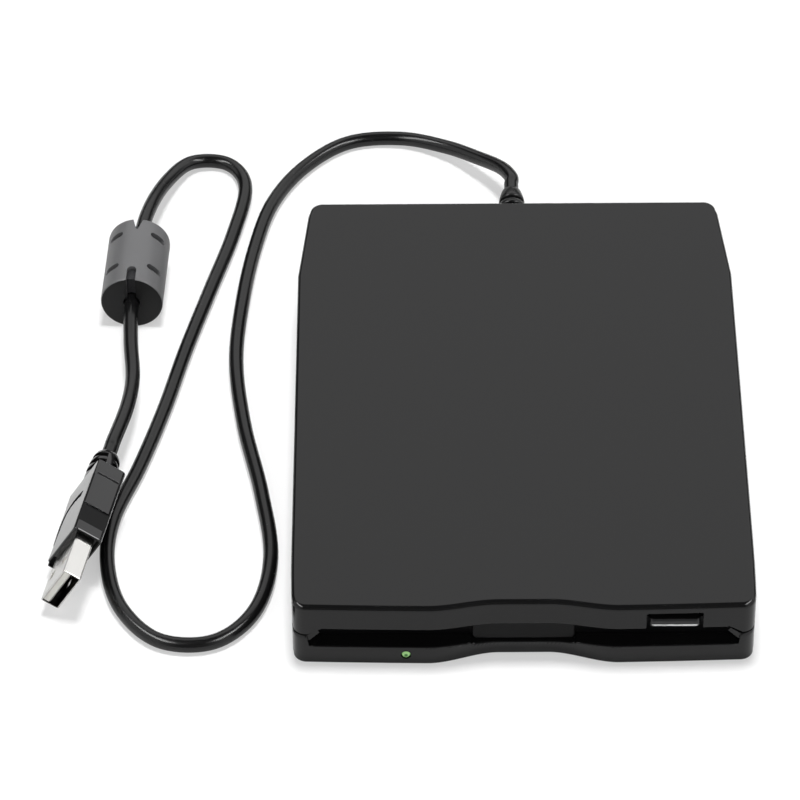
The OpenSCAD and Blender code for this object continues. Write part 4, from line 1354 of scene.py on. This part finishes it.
        # The tube's inner faces take the near-black metal: painted shade inside the opening.
        back, inner = place.inverted(), []
        for face in outer.data.polygons:
            middle, facing = back @ face.center / MM, back.to_3x3() @ face.normal
            within = abs(middle.x) < (t - sheet) / 2 and abs(middle.z) < (w - sheet) / 2
            inner.append(within and abs(facing.y) < 0.5)
        inlay(outer, SHELL_INSIDE_SHADE, inner)
        return outer

    def tongue(self) -> bpy.types.Object:
        """Makes the plug's white tongue, chamfered at its mouth.

        Returns:
            The finished piece.
        """
        left, right, root = -1.9, -0.05, -self.plug_l + 1.6
        tip = -self.plug_l - self.shell_l + 0.25
        outline = [(right - 0.4, tip), (right, tip + 0.5), (right, root), (left, root), (left, tip + 0.15),
                   (left + 0.15, tip)]
        piece = Blank().prism(outline, (-5.5, 5.5)).made("plug_tongue_body", self.on_plug())
        return fit(soften(piece, 0.06), "frame", "white_plastic", WHITE_PLASTIC, "plug_tongue")

    def contacts(self) -> bpy.types.Object:
        """Makes the four contact strips on the tongue, with turned-down tips.

        Returns:
            The finished piece.
        """
        blank, front, half = Blank(), -self.plug_l, 0.5
        strip = [(-0.05, front - 1), (-0.05, front - 10.6), (0.05, front - 10.55), (0.15, front - 10.3),
                 (0.15, front - 1)]
        for z in (-3.5, -1.0, 1.0, 3.5):
            blank.prism(strip, (z - half, z + half))
        piece = soften(blank.made("plug_contact_strips", self.on_plug()))
        return fit(piece, "frame", "gold", GOLD, "plug_contacts")


# ---------------------------------------------------------------- case


@dataclass
class Case:
    """The two halves of the case and its feet."""

    width: float = 104.0
    depth: float = CASE_DEPTH
    under: float = 0.7
    floor: float = 2.2
    lip: float = 6.05
    part: float = PART_Z
    slot_top: float = 11.25
    roof: float = 16.5
    top: float = 18.0
    wall: float = 1.6
    corner: float = 3.0
    front_round: float = 1.2
    side_round: float = 1.0
    edge_break: float = 0.1
    lip_round: float = 0.35
    seam: float = 0.18
    seam_deep: tuple[float, float] = (0.75, 0.85)
    recess_out: float = 21.5
    recess_in: float = 5.5
    recess_deep: tuple[float, float] = (2.2, 1.4)
    front_taper: tuple[float, float] = (0.45, 20.0)
    back_taper: tuple[float, float] = (2.6, 27.0)
    slot_half: float = 48.0
    slot_ends: tuple[float, float] = (-76.0, -65.0)
    notch_half: float = 11.8
    post: tuple[float, float] = (44.5, 62.5)
    post_r: float = 2.8
    relief_r: float = 2.7
    light: tuple[float, float] = LIGHT_AT
    pocket_at: tuple[float, float] = (BUTTON_X, 12.9)
    foot_x: float = 42.0
    foot_ys: tuple[float, float] = (-61.0, 51.0)
    lug_x: float = 43.5
    lug_ys: tuple[float, float] = (-44.0, 34.0)

    def build(self) -> None:
        """Makes both halves and the feet."""
        self.top_half()
        self.bottom_half()
        self.feet()

    def front_y(self, x: float, z: float) -> float:
        """Works out where the front face is.

        Args:
            x: the place across.
            z: the height.

        Returns:
            Its place along the depth, in millimetres.
        """
        least, more = self.recess_deep
        deep = least + more * max(0.0, (self.lip - z) / (self.lip - self.under))
        share = ease((self.recess_out - abs(x)) / (self.recess_out - self.recess_in))
        bow = (2 * x / self.width) ** 2 - (2 * self.recess_out / self.width) ** 2
        return -self.depth / 2 + deep * share + bow

    def side_x(self, y: float) -> float:
        """Works out where the right side is.

        Args:
            y: the place along the depth.

        Returns:
            Its place across, in millimetres.
        """
        half, (curve, near), (slant, far) = self.depth / 2, self.front_taper, self.back_taper
        return (self.width / 2 - curve * max(0.0, (-half + near - y) / near) ** 2
                - slant * max(0.0, (y - half + far) / far))

    def outline(self, z: float) -> Ring:
        """The case's outline at a height.

        Args:
            z: the height.

        Returns:
            Points from the middle of the front round to it again, anticlockwise, each with the share of
            the front's larger edge radius that it takes.
        """
        half, r = self.depth / 2, self.corner
        fx = self.side_x(-half) - r
        fy = self.front_y(fx, z) + r
        bx, by = self.side_x(half) - r, half - r
        right = [(x, self.front_y(x, z), 1.0) for x in steps(0.0, fx, 56)]
        turned = arc((fx, fy), r, -82.5, 0, 11)
        right += [(x, y, 1 - ((k + 1) / 12) ** 2.4) for k, (x, y) in enumerate(turned)]
        start, stop = -half + self.front_taper[1], half - self.back_taper[1]
        for low, high, count in ((fy + 1, start, 6), (start + 10, stop, 8), (stop + 5, by - 1.5, 5)):
            right += [(self.side_x(y), y, 0.0) for y in steps(low, high, count)]
        right += [(x, y, 0.0) for x, y in arc((bx, by), r, 5, 90, 12)]
        right += [(bx * k / 4, half, 0.0) for k in (3, 2, 1, 0)]
        return right + [(-x, y, s) for x, y, s in right[-2:0:-1]]

    def inset(self, points: Ring, deep: Sequence[float]) -> Outline:
        """Draws the outline in, square to itself.

        Args:
            points: the outline.
            deep: how far each of its points is drawn in.

        Returns:
            The drawn-in outline.
        """
        count, moved = len(points), []
        for i, (x, y, _) in enumerate(points):
            before, after = points[i - 1], points[(i + 1) % count]
            run = Vector((after[0] - before[0], after[1] - before[1])).normalized()
            moved.append((x - run.y * deep[i], y + run.x * deep[i]))
        return moved

    def ring(self, z: float, deep: float = 0.0) -> Ring:
        """The outline at a height, drawn in by one depth."""
        outline = self.outline(z)
        return [(x, y, z) for x, y in self.inset(outline, [deep] * len(outline))]

    def top_edge(self, turn: float) -> Ring:
        """Gives one ring of the rounded top edge.

        Args:
            turn: its angle, from 0 at the wall to 90 at the top face.

        Returns:
            The ring.
        """
        s, c = math.sin(math.radians(turn)), math.cos(math.radians(turn))
        outline = self.outline(self.top)
        radii = [self.side_round + (self.front_round - self.side_round) * share for _, _, share in outline]
        flat = self.inset(outline, [radius * (1 - c) for radius in radii])
        return [(x, y, self.top - radius * (1 - s)) for (x, y), radius in zip(flat, radii)]

    def inside(self, levels: Sequence[float], name: str) -> bpy.types.Object:
        """The space inside the walls, as a solid to cut away."""
        return Blank().loft([self.ring(z, self.wall) for z in levels]).made(name)

    def mouth(self) -> bpy.types.Object:
        """Makes the slot's mouth.

        Returns:
            The mouth, as a solid to cut away.
        """
        half = self.slot_half
        outline = [(-half, self.lip), (half, self.lip), (half + 0.4, self.part), (half - 2.5, self.slot_top),
                   (2.5 - half, self.slot_top), (-half - 0.4, self.part)]
        return Blank().prism(outline, self.slot_ends, Axis.Y).made("mouth")

    def edge_round(self, x0: float, x1: float, z: float, radius: float, up: bool) -> bpy.types.Object:
        """A strip that rounds an edge of the front face, as a solid to cut away.

        Args:
            x0: where it starts across the front.
            x1: where it ends.
            z: the height of the edge.
            radius: the radius of the round.
            up: whether the edge faces up, as the lower lip's does, or down.

        Returns:
            The solid.
        """
        way, rings = (1 if up else -1), []
        for x in steps(x0, x1, max(4, int((x1 - x0) / 0.9))):
            r = radius * min(1.0, 0.06 + (self.slot_half - abs(x)) / 1.8)
            y = self.front_y(x, z - way * r)
            round_off = [(y + r - r * math.cos(a), z - way * r * (1 - math.sin(a)))
                         for a in steps(0, math.pi / 2, 5)]
            profile = [(y - 1, z + way), (y - 1, z - way * r), *round_off, (y + r, z + way)]
            rings.append([(x, a, b) for a, b in profile])
        return Blank().loft(rings).made("edge_round")

    def end_flare(self) -> bpy.types.Object:
        """Makes the slanted bevel at each end of the slot's upper edge.

        Returns:
            The bevels, as a solid to cut away.
        """
        low, high = Vector((48.6, self.part - 0.1)), Vector((45.4, self.slot_top + 0.1))
        out = Vector((0.52, 0.86)) * 0.75
        front = [low - out * 2, low + out, high + out, high - out * 2]
        back = [low - out * 2, low - out * 0.05, high - out * 0.05, high - out * 2]
        rings = [[(p.x, y, p.y) for p in ring] for ring, y in ((front, -71.6), (front, -70.9), (back, -69.6))]
        return Blank().loft(rings).made("end_flare", mirror=True)

    def posts(self, span: tuple[float, float], radius: float) -> bpy.types.Object:
        """Makes the round posts of the case screws, or the bores in them.

        Args:
            span: the heights between which they stand.
            radius: their radius.

        Returns:
            Both, as one solid.
        """
        return Blank().bar(Axis.Z, self.post, span, radius).made("posts", mirror=True)

    def relief_hole(self) -> bpy.types.Object:
        """The hole in the back wall for the strain relief, as a solid to cut away."""
        return Blank().bar(Axis.Y, (0, self.part), (68.0, 73.0), self.relief_r).made("relief_hole")

    def top_half(self) -> bpy.types.Object:
        """Makes the top cover: its plain top face, thin rounded edges, slot and button pocket.

        Returns:
            The finished piece.
        """
        shallow, deep = self.seam_deep
        rings = [self.ring(self.part, deep), self.ring(self.part + self.seam, shallow),
                 self.ring(self.part + self.seam)]
        rings += [self.top_edge(turn) for turn in steps(0, 90, 7)]
        piece = Blank().loft(rings).made("upper_case")
        x, z = self.pocket_at
        pocket = Blank().prism(rounded(12.7, 6.2, 0.5), (-76.0, -68.0), Axis.Y).made("pocket", at(x, 0, z))
        upper_edge = self.edge_round(-45.3, 45.3, self.slot_top, 0.4, up=False)
        work(piece, Work.CUT, self.inside((self.part - 1, self.roof), "roof_space"))
        work(piece, Work.JOIN, self.posts((self.part - 0.5, self.roof + 0.4), self.post_r))
        work(piece, Work.CUT, self.posts((self.part - 1, self.part + 5.5), 0.95), self.mouth(), upper_edge,
             pocket, self.relief_hole(), self.end_flare())
        fit(soften(piece, self.edge_break, 50), "frame", "case_plastic", CASE_PLASTIC, "top_cover")
        self.shade_seam(piece)
        return piece

    def shade_seam(self, piece: bpy.types.Object) -> None:
        """Darkens the faces inside the parting line.

        Args:
            piece: one half of the case, with its finish.
        """
        shaded = []
        for face in piece.data.polygons:
            near = abs(face.center.z / MM - self.part) < self.seam + 0.12
            outside = abs(face.center.x) > self.slot_half * MM
            shaded.append(near and outside and abs(face.normal.z) > 0.2)
        inlay(piece, GAP_SHADE, shaded)

    def bottom_half(self) -> bpy.types.Object:
        """Makes the bottom cover: the lower lip with its notch, and the underside with its recesses.

        Returns:
            The finished piece.
        """
        r, low, notch, (shallow, deep) = 0.6, self.lip - 0.5, self.notch_half, self.seam_deep
        rings = [self.ring(self.under + r * (1 - math.sin(a)), r * (1 - math.cos(a)))
                 for a in steps(math.pi / 2, 0, 5)]
        rings += [self.ring(z) for z in (2.6, 4.2, 5.4, self.lip, 8.0, self.part - self.seam)]
        rings += [self.ring(self.part - self.seam, shallow), self.ring(self.part, deep)]
        piece = Blank().loft(rings).made("lower_case")
        work(piece, Work.CUT, self.inside((self.floor, 4.2, self.lip, self.part + 1), "floor_space"))
        lugs = [Blank().bar(Axis.Z, (self.lug_x, y), (self.floor - 0.4, 3.1), 3.3).made("lugs", mirror=True)
                for y in self.lug_ys]
        posts = self.posts((self.floor - 0.4, self.part - 0.5), self.post_r)
        work(piece, Work.JOIN, posts, *lugs, self.ledge())
        cuts = [self.mouth(), self.edge_round(-47.9, -notch - 0.1, self.lip, self.lip_round, up=True),
                self.edge_round(notch + 0.1, 47.9, self.lip, self.lip_round, up=True),
                Blank().block((-notch, notch), self.slot_ends, (low, self.part + 2)).made("notch"),
                self.edge_round(0.05 - notch, notch - 0.05, low, self.lip_round, up=True),
                Blank().bar(Axis.Y, self.light, (-76, -66), 1.15).made("light_hole"), self.relief_hole()]
        work(piece, Work.CUT, *cuts)
        work(piece, Work.JOIN, self.ramps())
        soften(piece, self.edge_break, 50)
        work(piece, Work.CUT, self.under_holes())
        fit(soften(piece, sharp=50), "frame", "case_plastic", CASE_PLASTIC, "bottom_cover")
        self.shade_seam(piece)
        return piece

    def under_holes(self) -> bpy.types.Object:
        """Makes the holes of the underside for screws and feet, with broken edges.

        Returns:
            The holes, as a solid to cut away.
        """
        blank, mouth, bore, head = Blank(), self.under + 0.12, 1.05, 2.4
        screws = [(*self.post, 1.8), *((self.lug_x, y, 1.3) for y in self.lug_ys)]
        for x, y, deep in screws:
            seat = self.under + deep
            blank.turned_at(x, y, [(0, 0), (head + mouth, 0), (head, mouth), (head, seat), (bore, seat),
                                   (bore, self.part), (0, self.part)])
        for y in self.foot_ys:
            blank.turned_at(self.foot_x, y, [(0, 0), (4.1 + mouth, 0), (4.1, mouth), (4.1, 1.0), (0, 1.0)])
        return blank.made("under_holes", mirror=True)

    def ledge(self) -> bpy.types.Object:
        """Makes the ledge behind the lower lip, which the dust door closes against.

        Returns:
            The ledge.
        """
        half, back = self.slot_half - 0.5, -65.7
        front = [(x, self.front_y(x, self.lip) + self.wall / 2) for x in steps(-half, half, 76)]
        outline = [*front, (half, back), (-half, back)]
        return Blank().prism(outline, (self.lip - 1, self.lip + 0.4)).made("ledge")

    def ramps(self) -> bpy.types.Object:
        """The slanted strip inside each end of the slot."""
        strip = [(-48.8, 7.4), (-47.9, 7.25), (-45.55, 9.7), (-46.1, 10.4), (-48.8, 8.4)]
        return Blank().prism(strip, (-69.7, -68.6), Axis.Y).made("ramps", mirror=True)

    def feet(self) -> bpy.types.Object:
        """Makes the four rubber feet, with a ring moulded into each.

        Returns:
            The finished piece.
        """
        profile = [(0, 0.18), (1.2, 0.18), (1.45, 0), (2.5, 0), (2.62, 0.12), (2.86, 0.12), (2.98, 0),
                   (3.6, 0), (3.85, 0.1), (3.97, 0.3), (4, 0.5), (4, 1.0), (0, 1.0)]
        blank = Blank()
        for x in (-self.foot_x, self.foot_x):
            for y in self.foot_ys:
                blank.turned_at(x, y, profile)
        return fit(soften(blank.made("feet"), sharp=50), "frame", "rubber", FOOT_RUBBER, "rubber_feet")


# ---------------------------------------------------------------- front pieces


@dataclass
class FrontPieces:
    """The dust door, the eject button and the light pipe."""

    door_half: float = 46.6
    pin_y: float = -67.0
    pin_z: float = 11.7
    pin_r: float = 0.7
    pin_end: float = 47.7
    panel: tuple[float, float] = (6.35, 11.05)
    tongue_w: float = 23.0
    tongue_z: tuple[float, float] = (6.0, 11.0)
    tongue_curl: float = 1.2
    nook: tuple[float, float] = (-44.9, -39.3)
    button_x: float = BUTTON_X
    button_w: float = 11.6
    button_foot: float = -68.8
    button_shade_z: float = 13.9
    light: tuple[float, float] = LIGHT_AT

    def build(self) -> None:
        """Makes all three."""
        self.door()
        self.button()
        self.lens()

    def door_tongue(self) -> bpy.types.Object:
        """Makes the raised tongue in the middle of the door, round at its lower corners.

        Returns:
            The tongue.
        """
        (low, high), side, curl, y = self.tongue_z, self.tongue_w / 2, self.tongue_curl, self.pin_y
        rings = []
        for depth, inset in ((y - 1.2, 0.35), (y - 1.1, 0.12), (y - 0.85, 0.0), (y + 0.5, 0.0)):
            outline = [(-side + inset, high), *arc((-side + curl, low + curl), curl - inset, 180, 270, 6),
                       *arc((side - curl, low + curl), curl - inset, 270, 360, 6), (side - inset, high)]
            rings.append([(x, depth, z) for x, z in outline])
        return Blank().loft(rings).made("tongue")

    def door(self) -> bpy.types.Object:
        """Makes the dust door with its raised tongue, hinge blocks and pins.

        Returns:
            The finished piece.
        """
        half, y, z, (start, stop) = self.door_half, self.pin_y, self.pin_z, self.nook
        piece = Blank().block((-half, half), (y + 0.4, y + 1.2), self.panel).made("shutter_door")
        block = [(y - 0.7, 9.85), (y + 0.6, 9.85), (y + 0.6, 10.45), (y + 1.2, 10.45), (y + 1.2, 11.3),
                 *arc((y, z), self.pin_r, 45, 180, 8)]
        pins = Blank().bar(Axis.X, (y, z), (half - 1.2, self.pin_end), self.pin_r, 24)
        spring_pin = Blank().bar(Axis.X, (y, z), (start - 0.6, stop + 0.4), self.pin_r - 0.1, 24)
        joined = [self.door_tongue(),
                  Blank().prism(block, (half - 2.4, half), Axis.X).made("hinge_block", mirror=True),
                  Blank().prism(block, (stop, stop + 1.6), Axis.X).made("nook_block"),
                  pins.made("pins", mirror=True)]
        work(piece, Work.CUT, Blank().block(self.nook, (y - 2, y + 2), (9.35, 11.25)).made("nook"))
        work(piece, Work.JOIN, *joined)
        work(piece, Work.JOIN, spring_pin.made("spring_pin"))
        return fit(soften(piece, 0.08, 50), "door", "front_plastic", FRONT_PLASTIC, "dust_door")

    def button(self) -> bpy.types.Object:
        """Makes the eject button: set back at the top, sloping out to a rounded lower lip.

        Returns:
            The finished piece.
        """
        foot, x, w = self.button_foot, self.button_x, self.button_w
        back = [(foot, 12.0), (foot, 13.6), (-66, 13.6), (-66, 15), (foot, 15), (foot, 15.5)]
        face = [(-69.0, 15.45), (-69.1, 15.2), (-69.12, 14.85), (-69.45, 14.5), (-69.95, 14.15),
                (-70.3, 13.85), (-70.52, 13.5), (-70.64, 13.1), (-70.74, 12.8), (-70.85, 12.58),
                (-70.86, 12.35), (-70.75, 12.12), (-70.6, 12.02), (-70.45, 12.0)]
        rings = []
        for end, drawn in ((0.0, 1.2), (0.12, 0.75), (0.4, 0.3), (0.75, 0.06), (1.1, 0.0)):
            rounded_face = [(min(foot, y + drawn), z) for y, z in face]
            rings.append([(x - w / 2 + end, y, z) for y, z in back + rounded_face])
        rings += [[(2 * x - side, y, z) for side, y, z in ring] for ring in reversed(rings)]
        piece = Blank().loft(rings).made("push_button")
        fit(soften(piece, 0.06, 60), "slider", "front_plastic", BUTTON_PLASTIC, "eject_button")
        inlay(piece, GAP_SHADE, [face.center.z > self.button_shade_z * MM for face in piece.data.polygons])
        return piece

    def lens(self) -> bpy.types.Object:
        """Makes the light pipe, with a low dome at its front and a flange inside the lip.

        Returns:
            The finished piece.
        """
        x, z = self.light
        profile = [(0, -71.0), (0.3, -70.98), (0.6, -70.88), (0.84, -70.71), (1.0, -70.48), (1.08, -70.25),
                   (1.1, -70.0), (1.1, -68.8), (1.35, -68.8), (1.35, -67.8), (0, -67.8)]
        piece = Blank().turn(profile, 48).made("light_pipe_rod", at(x, 0, z) @ along_y())
        return fit(soften(piece, sharp=50), "frame", "light_pipe", LIGHT_PIPE_PAINTED_GLOW, "led_lens")


# ---------------------------------------------------------------- inside


@dataclass
class EjectSprings:
    """The two springs between the frame and the slider plate, which shorten as the slider moves; they are
    made at one length.
    """

    pegs: tuple[float, float] = (-21.1, 3.5)
    wire: float = 0.16
    radius: float = 0.8
    hook: float = 0.78
    turns: float = 14.75
    lead: float = 1.7
    fine: int = 14

    def build(self) -> None:
        """Makes both springs as one piece."""
        low, high = (Vector(c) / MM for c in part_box("eject_springs"))
        x, z = high.x - self.radius - self.wire, (low.z + high.z) / 2
        piece = Blank().loft(self.tube([Vector((x + u, y, z + v)) for u, y, v in self.line()]))
        piece = piece.made("pull_springs", mirror=True)
        piece.data.shade_smooth()
        piece.data.materials.append(SPRING_WIRE.material())
        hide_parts("eject_springs")
        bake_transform(piece)
        LOG.info("%s between frame and slider: %d faces", piece.name, len(piece.data.polygons))

    def line(self) -> Ring:
        """Gives the wire's middle line about the spring's axis: the turns, and a hook round each peg.

        Returns:
            Its points, from the front peg to the back one.
        """
        front, back = self.pegs
        path = [(0.0, y, v) for y, v in arc((front, 0.0), self.hook, 300, 90, self.fine)]
        count, run = int(self.turns * self.fine), back - front - 2 * self.lead
        for k in range(count + 1):
            turn = math.pi / 2 + math.tau * self.turns * k / count
            path.append((self.radius * math.cos(turn), front + self.lead + run * k / count,
                         self.radius * math.sin(turn)))
        return path + [(u, y, 0.0) for u, y in arc((0.0, back), self.hook, 0, 240, self.fine)]

    def tube(self, path: Sequence[Vector]) -> list[Ring]:
        """The rings of a round wire along a path.

        Args:
            path: the points of its middle line.

        Returns:
            One ring for each point.
        """
        rings, side = [], Vector((1.0, 0.0, 0.0))
        for i, point in enumerate(path):
            run = (path[min(i + 1, len(path) - 1)] - path[max(i - 1, 0)]).normalized()
            side = (side - run * side.dot(run)).normalized()
            other = run.cross(side)
            rings.append([tuple(point + side * a + other * b) for a, b in arc((0, 0), self.wire, 0, 315, 7)])
        return rings


@dataclass
class Inside:
    """The nodes of the part whose own shape shows, each with its finish."""

    def finishes(self) -> dict[str, Finish]:
        """Gives the finish of each of these nodes.

        Returns:
            The finishes by the nodes' names.
        """
        groups: dict[Finish, str] = {
            BLACK_ZINC: "case_screws chassis_screws cover_screws",
            ZINC_SHEET: "chassis mechanism_cover slider_plate disk_holder stepper_motor",
            SPRING_WIRE: "door_spring lever_spring arm_spring",
            CLEAR_RESIN: "indicator_led",
            WHITE_PLASTIC: "shutter_lever screw_bearing cable_connector",
            GREEN_BOARD: "motor_board main_board",
            BRONZE: "spindle_bearing",
            COPPER_WIRE: "stator_coils",
            GROUND_STEEL: "spindle_rotor spindle_hub lead_screw guide_rods crystal",
            MAGNET: "rotor_magnet",
            DARK_PLASTIC: "head_carriage head_arm track_sensor disk_switches controller_chip",
            CERAMIC: "lower_head upper_head capacitors",
            AMBER_FILM: "head_flex",
            CORD_JACKET: "inner_cable",
            FERRITE: "ferrite_core",
        }
        return {name: finish for finish, names in groups.items() for name in names.split()}

    def build(self) -> None:
        """Gives each node its finish."""
        for name, finish in self.finishes().items():
            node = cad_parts[name]
            if not node.material_slots:
                node.data.materials.append(None)
            for slot in node.material_slots:
                slot.link = "OBJECT"
                slot.material = finish.material()
            LOG.info("%s: %s", name, finish.name)


def main() -> None:
    """Builds the studio, the cord and then the object."""
    logging.basicConfig(level=logging.INFO, format="%(message)s")
    for part in (Studio(), CordSet(), Case(), FrontPieces(), EjectSprings(), Inside()):
        part.build()
        LOG.info("%s built", type(part).__name__)


if __name__ == "__main__":
    main()
